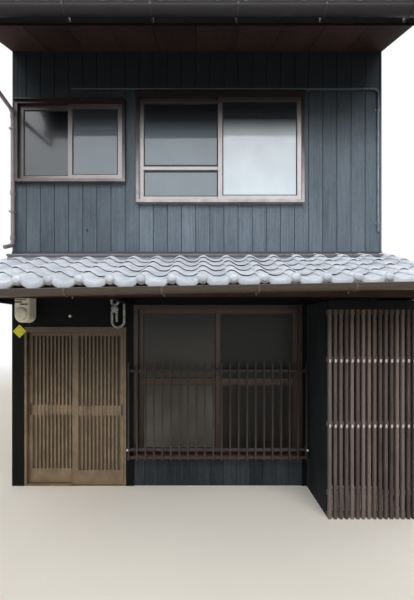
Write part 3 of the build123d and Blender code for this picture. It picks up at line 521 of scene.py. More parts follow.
# Painted shade: the door's metal turns darker towards the top, under the pent roof.
DOOR_METAL = Mottled(
    "tan_bronze_aluminium", "#968068", "#2c1f10", 0.42, 0.2, painted_shade_heights=(0.9, 1.95), mottle_mm=140,
    relief_mm=0.03,
)
# Painted shade: the guard bars turn darker upwards, under the pent roof.
GUARD_METAL = Mottled(
    "dark_bronze_guard_bar", "#4f4440", "#292321", 0.4, 0.25, sheen=0.3, painted_shade_heights=(0.45, 1.1), mottle_mm=60
)
# Small metal heads that catch the light, the pins pale as a painted glint, and a grey casting, dark where
# the dirt sits.
PIN_METAL = Mottled("pin_head_painted_glint", "#d6ccc6", "#a79c96", 0.45, 0.2, mottle_mm=10)
BOLT_METAL = Mottled("bright_zinc_bolt", "#d5d6d8", "#a9abae", 0.3, 0.6, mottle_mm=8)
FITTING = Mottled("grey_casting", "#adb0ac", "#5b5e5c", 0.45, 0.2, mottle_mm=24, mottle_strength=0.9)
# Black rubber and black mouldings: soft and even, with a faint gloss.
GASKET = Mottled("black_glazing_rubber", "#1c1d1f", "#101112", 0.6, mottle_mm=30)
PULL = Mottled("black_moulded_pull", "#221d19", "#151210", 0.5, mottle_mm=20)
BEZEL = Mottled("black_moulded_bezel", "#29292b", "#18181a", 0.4, mottle_mm=20)
# The meter: a yellowed moulded case, a glossier cover and dark plates under it.
METER = Mottled("beige_moulded_case", "#f4ecdb", "#d3cab7", 0.45, mottle_mm=60)
METER_GLASS = Mottled("clear_moulded_cover", "#e6decd", "#cfc6b3", 0.15, mottle_mm=40)
REGISTER = Mottled("dark_register_plate", "#54483b", "#372e25", 0.3, mottle_mm=20)
# A glossy white moulding, and enamel in one strong yellow.
BUTTON = Mottled("white_moulded_button", "#f0efea", "#dcdad2", 0.25, mottle_mm=20)
TAG = Mottled("yellow_enamel", "#dcd52e", "#b3aa1e", 0.35, mottle_mm=30)
# Float and frosted panes upstairs: dark and clear at the left, milky with the sky's mirror at the right.
# Painted shade and reflection: the panes turn dark at the top, under the eave.
UPPER_GLASS = Glazing(
    "upper_float_and_frosted_glass", "#ffffff", "#12171b", 0.0, painted_shade_heights=(3.8, 4.02), sheen=0.2,
    panes=(
        (-RAMP_HALF, "#222c33", 0.2, 0.5, 0.24),
        (-1.377, "#64737d", 0.45, 0.25, 0.75),
        (-0.72, "#75868f", 0.4, 0.25, 0.75),
        (0.253, "#e0eaf2", 0.5, 0.05, 0.75),
    ),
)
# Figured glass in the shade of the pent roof: brown and dim, painted darker at the top as that shade, and
# darker at the right.
GROUND_GLASS = Glazing(
    "ground_figured_glass", "#ffffff", "#151512", 0.0, painted_shade_heights=(0.8, 1.8), sheen=0.12, cloud_mm=520.0,
    cloud=0.5, panes=((-RAMP_HALF, "#7d7a6f", 0.35, 0.3, 0.12), (0.231, "#191813", 0.35, 0.3, 0.0)),
)
# Frosted panes: even and milky at the rear, and brown with the dark room behind the door.
REAR_GLASS = Glazing(
    "rear_frosted_glass", "#ffffff", "#ffffff", 0.0, panes=((-RAMP_HALF, "#a9b3b8", 0.5, 0.1, 1.0),)
)
# Painted shade: the door's panes turn darker towards the top, under the pent roof.
DOOR_GLASS = Glazing(
    "door_frosted_glass", "#ffffff", "#2b1d0c", 0.0, painted_shade_heights=(0.8, 1.9), sheen=0.06,
    panes=((-RAMP_HALF, "#6e6453", 0.5, 0.2, 0.05),),
)

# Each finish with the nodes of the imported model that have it.
DRESS = (
    (MORTAR, "ground_floor"),
    (PLASTER, "party_wall_left party_wall_right upper_front_wall rear_wall"),
    (DARK_TIMBER, "front_posts pent_roof_rafters"),
    (DARK_TIMBER_X, "front_wall_over_door front_wall_over_window pent_roof_frame"),
    (DARK_BOARDS, "front_wall_below_window front_wall_behind_lattice"),
    (BOARDS, "front_boards rear_boards"),
    (FLOOR_TIMBER, "upper_floor"),
    (ROOF_TIMBER, "floor_joists roof_beams roof_rafters roof_deck"),
    (TILE, "roof_tiles roof_ridge pent_roof_tiles"),
    (FASCIA, "eave_boards"),
    (EAVE_GUTTER, "eave_gutters"),
    (HOOK, "gutter_hooks"),
    (RAIN_PIPE, "downpipe"),
    (PENT_BOARDS, "pent_roof_deck"),
    (FLASHING, "pent_flashing"),
    (GUTTER, "pent_gutter"),
    (FRAME_METAL, "upper_window_frames rear_window_frames"),
    (SASH_METAL, "upper_window_sashes rear_window_sashes"),
    (UPPER_GLASS, "upper_window_glass"),
    (REAR_GLASS, "rear_window_glass"),
    (SHADED_GROUND_FRAME_METAL, "ground_window_frame"),
    (SHADED_GROUND_SASH_METAL, "ground_window_sashes"),
    (GROUND_GLASS, "ground_window_glass"),
    (GUARD_METAL, "window_guard"),
    (DOOR_METAL, "door_frame door_sash_left door_sash_right"),
    (DOOR_GLASS, "door_glass_left door_glass_right"),
    (BOX_BOARDS, "lattice_box_body"),
    (LATTICE, "lattice_box_front"),
    (METER, "electric_meter"),
    (CONDUIT, "conduit"),
    (FITTING, "service_fitting"),
    (BUTTON, "bell_button"),
    (TAG, "corner_tag"),
)


@cache
def material_of(finish: Finish) -> bpy.types.Material:
    """Makes a finish's material at the first call, and gives the same one after it."""
    return finish.build()


def dress_nodes() -> None:
    """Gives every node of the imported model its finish."""
    finishes = {name: finish for finish, names in DRESS for name in names.split()}
    for name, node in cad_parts.items():
        material = material_of(finishes[name])
        if not node.data.materials:
            node.data.materials.append(material)
        for slot in node.material_slots:
            slot.material = material


@dataclass
class MeshStore:
    """Vertices, faces and tones of one piece, gathered from whole arrays."""

    points: list[Array] = field(default_factory=list)
    faces: list[Array] = field(default_factory=list)
    tones: list[Array] = field(default_factory=list)
    count: int = 0

    def add(self, points: Array, faces: list[Array], tones: Array | float) -> None:
        """Adds vertices, their faces and their tones.

        Args:
            points: vertices as rows of x, y and z.
            faces: arrays of vertex numbers, counted within these points, one row for each face.
            tones: a number for each vertex, or one for all, from -0.5 to 0.5.
        """
        self.points.append(points)
        self.faces += [block + self.count for block in faces]
        self.tones.append(np.broadcast_to(np.asarray(tones, dtype=float), (len(points),)))
        self.count += len(points)

    def add_boxes(self, low: tuple, high: tuple, tones: Array | float = 0.0) -> None:
        """Adds blocks between low and high corners.

        Args:
            low: x, y and z of the low corners, each one number or one for each block.
            high: x, y and z of the high corners, likewise.
            tones: one tone for all, or one for each block.
        """
        start, end = (np.atleast_2d(rows(*corner))[:, None] for corner in (low, high))
        pick = np.array([[i & 1, (i >> 1) & 1, (i >> 2) & 1] for i in range(8)], dtype=float)
        corners = start + (end - start) * pick
        sides = [[0, 2, 3, 1], [4, 5, 7, 6], [0, 1, 5, 4], [2, 6, 7, 3], [0, 4, 6, 2], [1, 3, 7, 5]]
        faces = (np.array(sides) + np.arange(len(corners))[:, None, None] * 8).reshape(-1, 4)
        self.add(corners.reshape(-1, 3), [faces], np.repeat(np.broadcast_to(tones, len(corners)), 8))

    def add_loft(self, rings: Array, tones: Array | float = 0.0, closed: bool = False) -> None:
        """Adds a closed shell through rings of points, with a flat cap at each end or its ends joined.

        Args:
            rings: array of rings by points round each by three.
            tones: one tone for all, or an array of rings by points.
            closed: True where the last ring joins the first.
        """
        count, around = rings.shape[:2]
        number = np.arange(count * around).reshape(count, around)
        grid = np.vstack([number, number[:1]]) if closed else number
        grid = np.hstack([grid, grid[:, :1]])
        quads = rows(grid[:-1, :-1], grid[:-1, 1:], grid[1:, 1:], grid[1:, :-1]).reshape(-1, 4)
        caps = [] if closed else [number[:1, ::-1], number[-1:]]
        level = tones if np.isscalar(tones) else np.asarray(tones).reshape(-1)
        self.add(rings.reshape(-1, 3), [quads, *caps], level)

    def build(self, name: str, material: bpy.types.Material, smooth: float = 0.0) -> bpy.types.Object:
        """Makes the mesh object, with every closed shell facing outwards.

        Args:
            name: name of the piece.
            material: its material.
            smooth: edges flatter than this many degrees are shaded smooth; 0 leaves all of them sharp.

        Returns:
            The new object, linked to the scene.
        """
        mesh = bpy.data.meshes.new(name)
        faces = [row for block in self.faces for row in block.tolist()]
        mesh.from_pydata(np.concatenate(self.points).tolist(), [], faces)
        tones = mesh.attributes.new("tone", "FLOAT", "POINT")
        tones.data.foreach_set("value", np.concatenate(self.tones).astype(np.float32))
        outward = bmesh.new()
        outward.from_mesh(mesh)
        bmesh.ops.recalc_face_normals(outward, faces=outward.faces)
        outward.to_mesh(mesh)
        outward.free()
        mesh.polygons.foreach_set("use_smooth", np.full(len(mesh.polygons), smooth > 0))
        if smooth:
            mesh.set_sharp_from_angle(angle=math.radians(smooth))
        mesh.materials.append(material)
        mesh.update()
        piece = bpy.data.objects.new(name, mesh)
        bpy.context.collection.objects.link(piece)
        return piece

    def place(
        self, name: str, finish: Finish, slot: str, *nodes: str, body: str = HOUSE, smooth: float = 0.0,
        ease_mm: float = 0.0,
    ) -> None:
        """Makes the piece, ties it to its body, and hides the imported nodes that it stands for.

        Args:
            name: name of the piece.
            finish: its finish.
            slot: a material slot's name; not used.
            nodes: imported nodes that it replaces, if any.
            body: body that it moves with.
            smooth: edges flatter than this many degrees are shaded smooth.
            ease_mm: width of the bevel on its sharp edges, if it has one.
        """
        piece = self.build(name, material_of(finish), smooth)
        if ease_mm:
            bevel = piece.modifiers.new("eased_edges", "BEVEL")
            bevel.width, bevel.segments = ease_mm * MM, 1
            bevel.limit_method, bevel.angle_limit = "ANGLE", math.radians(EASE_ANGLE)
        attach(piece, body)
        if nodes:
            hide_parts(*nodes)
        LOG.info("%s: %d faces on %s", piece.name, len(piece.data.polygons), body)


def ring_of(radius: float, sides: int) -> Array:
    """Points of a circle in its own plane, as rows of two."""
    turn = np.arange(sides) * 2 * np.pi / sides
    return radius * rows(np.cos(turn), np.sin(turn))


def swept(outline: Array | list, ends: tuple[float, float]) -> Array:
    """An outline of y and z carried straight along X, as one ring at each end."""
    y, z = np.array(outline).T
    return rows(np.array(ends)[:, None], y, z)


def straight_tube(start: tuple, end: tuple, radius: float, sides: int) -> Array:
    """A round bar from one point to another, as two rings square to its length.

    Args:
        start: middle of its first end.
        end: middle of its other end.
        radius: its radius.
        sides: points round it.

    Returns:
        The two rings.
    """
    ends = np.array([start, end])
    along = (ends[1] - ends[0]) / np.linalg.norm(ends[1] - ends[0])
    side = np.cross(along, [0.0, 0.0, 1.0] if abs(along[2]) < 0.9 else [0.0, 1.0, 0.0])
    side /= np.linalg.norm(side)
    circle = ring_of(radius, sides)
    return ends[:, None] + (circle[:, :1] * side + circle[:, 1:] * np.cross(along, side))


def bent_tube(path: Array, radius: float, sides: int) -> Array:
    """A round tube along a path that lies square to Y: each ring stands square to the path's own direction.

    Args:
        path: rows of x, y and z.
        radius: its radius.
        sides: points round it.

    Returns:
        One ring for each point of the path.
    """
    along = np.gradient(path, axis=0)
    along /= np.linalg.norm(along, axis=1, keepdims=True)
    square = np.cross(along, [0.0, 1.0, 0.0])
    circle = ring_of(radius, sides)
    return path[:, None] + circle[:, :1] * np.array([0.0, 1.0, 0.0]) + circle[:, 1:] * square[:, None]


def turned(profile: Array, sides: int) -> Array:
    """A shape turned about Y: each row of the profile, a radius and a place along Y, becomes a ring."""
    circle, radius = ring_of(1.0, sides), np.maximum(profile[:, :1], 1e-4)
    return rows(radius * circle[:, 0], profile[:, 1:], radius * circle[:, 1])


def domed(rim: list, radius: float, start: float, rise: float, steps: int) -> Array:
    """A profile to turn: the rim's rows of radius and y, then a quarter ellipse that closes the front."""
    angle = np.linspace(0, np.pi / 2, steps)
    return np.vstack([rim, rows(radius * np.cos(angle), start - rise * np.sin(angle))])


@dataclass
class TiledSlope:
    """One roof slope of S-shaped clay pantiles in courses, with rolled and scalloped tiles at the eave."""

    name: str
    node: str
    courses: int
    run: float
    rear: bool = False
    cross_fall: float = 0.0
    packing: float = 0.0
    columns: int = 17
    slope: float = ROOF_SLOPE
    first_roll: float = 0.194
    roll_height: float = 0.044
    pan_rest: float = 0.004
    course_lift: float = 0.02
    clay: float = 0.009
    side_lift: float = 0.009
    first_edge: float = -0.2
    last_edge: float = 0.84
    ripple: int = 17
    lap: float = 0.12
    nose: float = 0.012
    uneven: float = 0.0012
    lip_half: float = 0.36
    lip_side: float = 0.014
    lip_sag: float = 0.036
    lip_thickness: float = 0.02
    pan_dust_and_shade: float = 0.9
    knob_radius: float = 0.0415
    knob_lift: float = 0.006
    bed_proud: float = 0.012
    bed_rise: float = 0.006
    bed_tile: float = 0.02
    seed: int = 7

    def __post_init__(self) -> None:
        """Reads the slope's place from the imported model."""
        low, high = box_of(self.node)
        self.left, self.right = low[0], high[0]
        self.eave = high[1] if self.rear else low[1]
        self.eave_height = low[2]
        self.pitch = (self.right - self.left) / self.columns
        self.course = self.run / self.courses
        self.inward = -1.0 if self.rear else 1.0
        self.store, self.rng = MeshStore(), np.random.default_rng(self.seed)

    def wave(self, across: Array) -> Array:
        """Height of the S-shape: a raised cosine to the power 1.5, and a lift towards the lapping edge."""
        roll = self.roll_height * (0.5 + 0.5 * np.cos(2 * np.pi * across)) ** 1.5
        return roll + self.side_lift * (self.last_edge - across) / (self.last_edge - self.first_edge)

    def one_tile(self, start: float, end: float) -> tuple[Array, Array]:
        """One tile as a closed shell: its wave across, a straight run up the slope, its nose and its clay.

        Args:
            start: left edge of the tile, in pitches from its roll.
            end: right edge of the tile.

        Returns:
            Rings with x across, y up the slope and z above the roof boards, and a tone for each point, which
            is darker under the nose as painted shade, darker in the pan by dust and painted shade, and
            lighter on the roll as a painted highlight.
        """
        across = np.linspace(start, end, self.ripple)
        lift, clay, head, sunk = self.course_lift, self.clay, 1 + self.lap, -self.course_lift * self.lap
        nose = self.nose / self.course
        # Place up the slope in courses, height over the wave, and tone, which is painted shade under the
        # nose.
        outline = [(0.0, lift, -0.42), (0.0, lift + clay * 0.6, -0.3), (nose, lift + clay, 0.0)]
        up, rise, tones = np.array([*outline, (head, sunk + clay, 0.0), (head, sunk, 0.0)]).T
        # Darker in the pan by dust and painted shade, lighter on the roll as a painted highlight.
        dust_shade_and_highlight = self.pan_dust_and_shade * (0.4 - self.wave(across) / self.roll_height)
        height = (self.wave(across) + self.pan_rest)[:, None] + rise
        return rows((across * self.pitch)[:, None], up * self.course, height), tones - dust_shade_and_highlight[:, None]

    def on_slope(self, points: Array) -> Array:
        """Moves points from the slope's own run to the house.

        Args:
            points: x, y as the way in from the eave, and z above the roof boards.

        Returns:
            The points, climbing the slope over an eave that rises to the right by the cross fall.
        """
        x, y, z = np.moveaxis(points, -1, 0)
        level = self.eave_height + z + self.slope * y + (self.cross_fall * x + self.packing)
        return rows(x, self.eave + self.inward * y, level)

    def rolls(self) -> Array:
        """Middle of each roll across the roof, and of one past the left edge for the half tile there."""
        return self.left + self.first_roll + self.pitch * np.arange(-1, self.columns)

    def spans(self, first: float, last: float, least: float) -> list[tuple[float, float, float]]:
        """Gives each roll that has a part between two edges, with those edges cut at the verges.

        Args:
            first: left edge in pitches from the roll.
            last: right edge.
            least: what is narrower than this is left out.

        Returns:
            The roll's place, the left edge and the right edge of each.
        """
        cut = [
            (x, max(first, (self.left - x) / self.pitch), min(last, (self.right - x) / self.pitch))
            for x in self.rolls()
        ]
        return [(x, start, end) for x, start, end in cut if end - start >= least]

    def add_tiles(self) -> None:
        """Lays every tile of the slope, cut off straight at both verges."""
        for x, start, end in self.spans(self.first_edge, self.last_edge, 0.05):
            shell, tones = self.one_tile(start, end)
            for course in range(self.courses):
                shift = self.rng.uniform(-self.uneven, self.uneven, 3) * np.array([0.0, 1.0, 1.0])
                moved = shell + np.array([x, course * self.course, 0.0]) + shift
                self.store.add_loft(self.on_slope(moved), tones + self.rng.uniform(-0.5, 0.5))

    def add_lips(self) -> None:
        """Adds the lip under each pan: its top follows the pan, its foot is an arc, lowest in the middle."""
        thick = self.lip_thickness
        for x, start, end in self.spans(0.5 - self.lip_half, 0.5 + self.lip_half, 0.1):
            u = np.linspace(start, end, 11)
            top = self.wave(u) + self.pan_rest + self.course_lift + self.clay * 0.9
            arc = np.clip(1 - ((u - 0.5) / self.lip_half) ** 2, 0, 1)
            middle = self.wave(np.array(0.5)) + self.pan_rest + self.course_lift
            foot = middle - self.lip_side - self.lip_sag * arc
            y = np.array([0.004, -0.004, -0.007, -0.003, 0.003, thick, thick])
            z = rows(top, top - 0.006, (top + foot) / 2, foot + 0.004, foot, foot + 0.002, top - 0.004)
            lip = rows((x + u * self.pitch)[:, None], y, z - self.slope * y)
            self.store.add_loft(self.on_slope(lip), self.rng.uniform(-0.35, 0.5))

    def add_knobs(self) -> None:
        """Adds the domed disc at the end of each roll, turned about the way out of the roof."""
        radius = self.knob_radius
        rim = [[1e-4, 0.03], [radius * 0.96, 0.03], [radius, 0.004], [radius, -0.006]]
        rim += [[radius * 0.93, -0.011], [radius * 0.84, -0.0095]]
        knob = turned(domed(rim, 0.8 * radius, -0.012, 0.012, 6), 20)
        crest = self.roll_height + self.pan_rest + self.course_lift + self.clay + self.side_lift
        for x in self.rolls()[1:]:
            moved = knob + np.array([x, 0.0, crest - radius + self.knob_lift])
            moved[..., 2] -= self.slope * moved[..., 1]
            self.store.add_loft(self.on_slope(moved), self.rng.uniform(-0.3, 0.5))

    def make(self) -> None:
        """Builds the slope."""
        self.add_tiles()
        self.add_lips()
        self.add_knobs()
        self.store.place(self.name, TILE, "roof_tile", self.node, smooth=38)

    def bed_head(self) -> None:
        """Fills the waves at the head of the slope with mortar, and lays a course of flat tiles on it."""
        low, high = box_of("pent_flashing")
        front, back, top = low[1] - self.bed_proud, high[1] - 0.005, low[2] + self.bed_rise
        foot = self.eave_height + self.slope * (front - self.eave)
        left, right = low[0] + 0.002, high[0] - 0.002
        mortar, flats = MeshStore(), MeshStore()
        outline = [(front, foot), (front, top), (back, top), (back, foot + 0.02)]
        mortar.add_loft(swept(outline, (left, right)))
        mortar.place("pent_head_mortar", BED_MORTAR, "floor_mortar")
        joints = self.rolls() + self.pitch / 2
        joints = joints[(joints > left + 0.02) & (joints < right - 0.02)]
        x0, x1 = np.array([left, *joints]) + 0.001, np.array([*joints, right]) - 0.001
        tones = np.random.default_rng(self.seed).uniform(-0.2, 0.5, len(x0))
        flats.add_boxes((x0, front - 0.02, top), (x1, high[1], top + self.bed_tile), tones)
        flats.place("pent_head_tiles", HEAD_TILE, "roof_tile", ease_mm=2.0)


@dataclass
class RidgeTiles:
    """The ridge: flat tiles in courses on both sides, and round caps with a collar at each joint."""

    flat_courses: int = 3
    flat_rise: float = 0.026
    flat_thickness: float = 0.016
    flat_length: float = 0.29
    cap_radius: float = 0.07
    cap_length: float = 0.27
    collar: float = 0.008
    collar_ends: tuple[float, float] = (0.035, 0.037)
    side_step: float = 0.008
    joint: float = 0.0015
    seed: int = 11

    def make(self) -> None:
        """Builds the courses over a dark core, and the caps: half tubes with a raised collar at one end."""
        low, high = box_of("roof_ridge")
        rng, store = np.random.default_rng(self.seed), MeshStore()
        foot = high[2] - self.cap_radius - self.flat_courses * self.flat_rise
        count = round((high[0] - low[0]) / self.flat_length)
        for course in range(self.flat_courses):
            edges = np.linspace(low[0], high[0], count + 1) + (0.5 * self.flat_length if course % 2 else 0)
            edges = np.clip(edges, low[0], high[0])
            keep = np.diff(edges) > 0.01
            x0, x1 = edges[:-1][keep] + self.joint, edges[1:][keep] - self.joint
            reach = high[1] - course * self.side_step
            z = foot + course * self.flat_rise
            top = z + self.flat_thickness
            store.add_boxes((x0, -reach, z), (x1, reach, top), rng.uniform(-0.5, 0.4, len(x0)))
            core = (high[0] - 0.01, reach - 0.02, z + self.flat_rise)
            store.add_boxes((low[0] + 0.01, 0.02 - reach, top), core, -0.5)
        core = (high[0] - 0.02, high[1] - 0.015, foot)
        store.add_boxes((low[0] + 0.02, -high[1] + 0.015, low[2] + 0.01), core, -0.5)
        angle, base = np.linspace(0, np.pi, 13), high[2] - self.cap_radius
        edges = np.linspace(low[0], high[0], round((high[0] - low[0]) / self.cap_length) + 1)
        radius = (self.cap_radius - self.collar + np.array([self.collar, self.collar, 0.0, 0.0]))[:, None]
        for x0, x1 in zip(edges[:-1], edges[1:]):
            x = np.array([x0, *[x0 + end for end in self.collar_ends], x1])[:, None]
            cap = rows(x, radius * np.cos(angle), base + radius * np.sin(angle))
            store.add_loft(cap, rng.uniform(-0.4, 0.5))
        store.place("ridge_tiles", TILE, "roof_tile", "roof_ridge", smooth=38)


@dataclass
class EaveBoards:
    """Soffit boards under both eaves, one panel beside the next, and the fascia board at their foot."""

    panels: int = 10
    joint: float = 0.005
    thickness: float = 0.009
    fascia: float = 0.02
    ease: float = 0.004
    seed: int = 17

    def make(self) -> None:
        """Builds the soffits and the fascias of the front and the rear eave."""
        low, high = box_of("eave_boards")
        foot, head, top = low[1] + self.fascia, box_of("front_boards")[1][1], high[2]
        rng, soffits, fascias = np.random.default_rng(self.seed), MeshStore(), MeshStore()
        edges = np.linspace(low[0], high[0], self.panels + 1)
        foot_z = top - ROOF_SLOPE * (head - foot)
        slab = [(foot, foot_z - self.thickness), (head, top - self.thickness), (head, top), (foot, foot_z)]
        board = [(low[1] + self.ease, low[2]), (foot, low[2]), (foot, foot_z + self.fascia)]
        board += [(low[1], foot_z + self.fascia), (low[1], low[2] + self.ease)]
        for side in (1.0, -1.0):
            turn = np.array([side, 1.0])
            for left, right in zip(edges[:-1], edges[1:]):
                ends = (left + self.joint / 2, right - self.joint / 2)
                soffits.add_loft(swept(slab * turn, ends), rng.uniform(-0.5, 0.5))
            fascias.add_loft(swept(board * turn, (low[0], high[0])))
        soffits.place("eave_soffits", SOFFIT, "roof_timber", "eave_boards")
        fascias.place("eave_fascias", FASCIA, "roof_timber", "eave_boards")


@dataclass
class UprightBoards:
    """Upright boarding of one wall, one block for each board, cut round the windows, over a backing painted
    dark as the shade in the joints.
    """

    name: str
    node: str
    windows: list[Box]
    rear: bool = False
    board: float = 0.1554
    joint: float = 0.006
    face: float = 0.011
    unevenness: float = 0.003
    joint_shade_tone: float = -2.0
    seed: int = 3

    def make(self) -> None:
        """Builds the boards: columns across the wall, each whole or parted by the windows that it meets."""
        low, high = box_of(self.node)
        rng, store, blocks = np.random.default_rng(self.seed), MeshStore(), []
        count = math.ceil((high[0] - low[0]) / self.board - 0.05)
        edges = np.minimum(low[0] + np.arange(count + 1) * self.board, high[0])
        edges[-1] = high[0]
        for left, right in zip(edges[:-1], edges[1:]):
            tone, depth = rng.uniform(-0.5, 0.5), rng.uniform(0, self.unevenness)
            cuts = sorted({left, right, *[c[0] for w in self.windows for c in w if left < c[0] < right]})
            for x0, x1 in zip(cuts[:-1], cuts[1:]):
                near = x0 + (self.joint / 2 if x0 == left else 0)
                far = x1 - (self.joint / 2 if x1 == right else 0)
                for z0, z1 in self.open_runs(x0, x1, low[2], high[2]):
                    blocks.append((near, far, depth, self.face, z0, z1, tone))
                    # The backing shows through the joints, painted dark as their shade.
                    blocks.append((x0, x1, self.face, high[1] - low[1], z0, z1, self.joint_shade_tone))
        x0, x1, out, back, z0, z1, tones = np.array(blocks).T
        y0, y1 = (high[1] - back, high[1] - out) if self.rear else (low[1] + out, low[1] + back)
        store.add_boxes((x0, y0, z0), (x1, y1, z1), tones)
        store.place(self.name, BOARDS, "blue_grey_boards", self.node, ease_mm=2.0)

    def open_runs(self, x0: float, x1: float, z0: float, z1: float) -> list[tuple[float, float]]:
        """Gives the heights of a column that no window takes.

        Args:
            x0: left edge of the column.
            x1: right edge of the column.
            z0: foot of the wall.
            z1: top of the wall.

        Returns:
            Pairs of low and high, from the foot up.
        """
        windows = sorted(self.windows, key=lambda window: window[0][2])
        met = [(low[2], high[2]) for low, high in windows if low[0] < x1 - 1e-6 and high[0] > x0 + 1e-6]
        ends = [z0, *[z for pair in met for z in pair], z1]
        return [(a, b) for a, b in zip(ends[::2], ends[1::2]) if b - a > 0.002]


def window_holes(node: str, axis: int, cut: float) -> list[Box]:
    """Gives the corners of the two windows of a frame node where they pass through the boards.

    Args:
        node: node of window frames.
        axis: axis along which the two windows stand apart.
        cut: place between them.

    Returns:
        Low and high corners of each window.
    """
    points = points_of(node)
    points = points[np.abs(points[:, 1]) < WALL_FACE - 1e-4]
    groups = (points[points[:, axis] < cut], points[points[:, axis] > cut])
    return [(group.min(axis=0), group.max(axis=0)) for group in groups]


def panes_of(node: str) -> list[Box]:
    """Gives the corners of each pane of a glass node: each is a solid of its own, so an island of its mesh.

    Args:
        node: node of panes.

    Returns:
        Low and high corners of each pane, sorted, because a set gives its vertices in a new order each run.
    """
    mesh = bmesh.new()
    mesh.from_mesh(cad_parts[node].data)
    bmesh.ops.remove_doubles(mesh, verts=mesh.verts, dist=1e-6)
    waiting, panes = set(mesh.verts), []
    while waiting:
        island, edge_of = set(), [waiting.pop()]
        while edge_of:
            vertex = edge_of.pop()
            island.add(vertex)
            near = {edge.other_vert(vertex) for edge in vertex.link_edges} & waiting
            waiting -= near
            edge_of += near
        points = np.array([vertex.co for vertex in island])
        panes.append((points.min(axis=0), points.max(axis=0)))
    mesh.free()
    return sorted(panes, key=lambda pane: tuple(pane[0]))


@dataclass
class Gaskets:
    """Black rubber round every window pane: four strips on its outer face, out from under the sash.

    The rail between two panes of one sash has a black bead along its top and its foot as well.
    """

    hidden: float = 0.004
    width: float = 0.013
    proud: float = 0.0015
    sunk: float = 0.0005
    bead: float = 0.011
    reach: float = 0.01

    def make(self) -> None:
        """Builds the strips of every window."""
        for place, face in (("upper", -1.0), ("ground", -1.0), ("rear", 1.0)):
            store, wide = MeshStore(), self.width
            for low, high in panes_of(f"{place}_window_glass"):
                outer = high[1] if face > 0 else low[1]
                y0, y1 = sorted((outer + face * self.proud, outer - face * self.sunk))
                x0, z0 = low[0] + self.hidden, low[2] + self.hidden
                x1, z1 = high[0] - self.hidden, high[2] - self.hidden
                # The strips at the foot, the top, the left and the right.
                start = ((x0, x0, x0, x1 - wide), y0, (z0, z1 - wide, z0 + wide, z0 + wide))
                end = ((x1, x1, x0 + wide, x1), y1, (z0 + wide, z1, z1 - wide, z1 - wide))
                store.add_boxes(start, end)
            if place == "upper":
                self.add_beads(store)
            store.place(f"{place}_window_gaskets", GASKET, "window_metal")

    def add_beads(self, store: MeshStore) -> None:
        """Adds the two beads on the face of the rail between the stacked panes of the wide upper window.

        Args:
            store: gets the beads.
        """
        panes = sorted(panes_of("upper_window_glass"), key=lambda pane: (round(pane[0][0], 2), pane[0][2]))
        lower, upper = next((a, b) for a, b in zip(panes, panes[1:]) if abs(a[0][0] - b[0][0]) < MM)
        x, y, z = points_of("upper_window_sashes").T
        beside = (x > lower[0][0] - self.reach) & (x < lower[1][0] + self.reach)
        face = y[beside & (z > lower[1][2] - self.reach) & (z < upper[0][2] + self.reach)].min()
        x0, x1 = lower[0][0] + self.hidden, lower[1][0] - self.hidden
        foot, top = lower[1][2] - self.hidden, upper[0][2] + self.hidden
        start = (x0, face - self.proud, (foot, top - self.bead))
        store.add_boxes(start, (x1, face + self.sunk, (foot + self.bead, top)))


@dataclass
class LatticeFront:
    """The lattice of the box: upright bars with eased edges lapped over rails, under a dark header board."""

    bars: int = 16
    bar_width: float = 0.028
    bar_depth: float = 0.028
    header: float = 0.083
    rails: tuple[float, ...] = (0.0, 0.203, 0.833, 1.426)
    rail_height: float = 0.045
    rail_tone: float = 0.45
    ease: float = 0.003
    header_ease: float = 0.004
    lean: float = 0.0015
    pin_rails: tuple[float, ...] = (0.833, 1.426)
    pin_radius: float = 0.0105
    pin_rise: float = 0.01
    pin_stretch: float = 1.7
    seed: int = 5

    def make(self) -> None:
        """Builds the bars and the rails, the pins, taller than they are wide, and the header board."""
        low, high = box_of("lattice_box_front")
        rng, bars, pins, header = np.random.default_rng(self.seed), MeshStore(), MeshStore(), MeshStore()
        top, half, ease, depth = high[2] - self.header, self.bar_width / 2, self.ease, self.bar_depth
        outline = [(ease - half, 0), (half - ease, 0), (half, ease)]
        x, y = np.array([*outline, (half, depth), (-half, depth), (-half, ease)]).T
        places = np.linspace(low[0] + half, high[0] - half, self.bars)
        for place in places:
            shift = np.array([0.0, rng.uniform(-self.lean, self.lean), 0.0])[:, None]
            bar = rows(place + x + shift, low[1] + y, np.array([0.0, top / 2, top])[:, None])
            bars.add_loft(bar, rng.uniform(-0.5, 0.5))
        foot = np.array([*self.rails, top - self.rail_height])
        end = (high[0], high[1], foot + self.rail_height)
        bars.add_boxes((low[0], low[1] + depth, foot), end, self.rail_tone)
        bars.place("lattice_bars", LATTICE, "lattice_timber", "lattice_box_front")
        radius = self.pin_radius
        pin = turned(domed([[radius, 0.002]], radius, 0.0, 0.4 * radius, 4), 10)
        pin[..., 2] *= self.pin_stretch
        for z in self.pin_rails:
            for place in places:
                pins.add_loft(pin + [place, low[1], z + self.pin_rise])
        pins.place("lattice_pins", PIN_METAL, "hook_metal", smooth=50)
        ease, head = self.header_ease, top + self.header
        outline = [(low[1] + ease, top), (low[1], top + ease), (low[1], head)]
        header.add_loft(swept([*outline, (high[1], head), (high[1], top)], (low[0], high[0])))
        header.place("lattice_header", DARK_TIMBER_X, "dark_timber", "lattice_box_front")


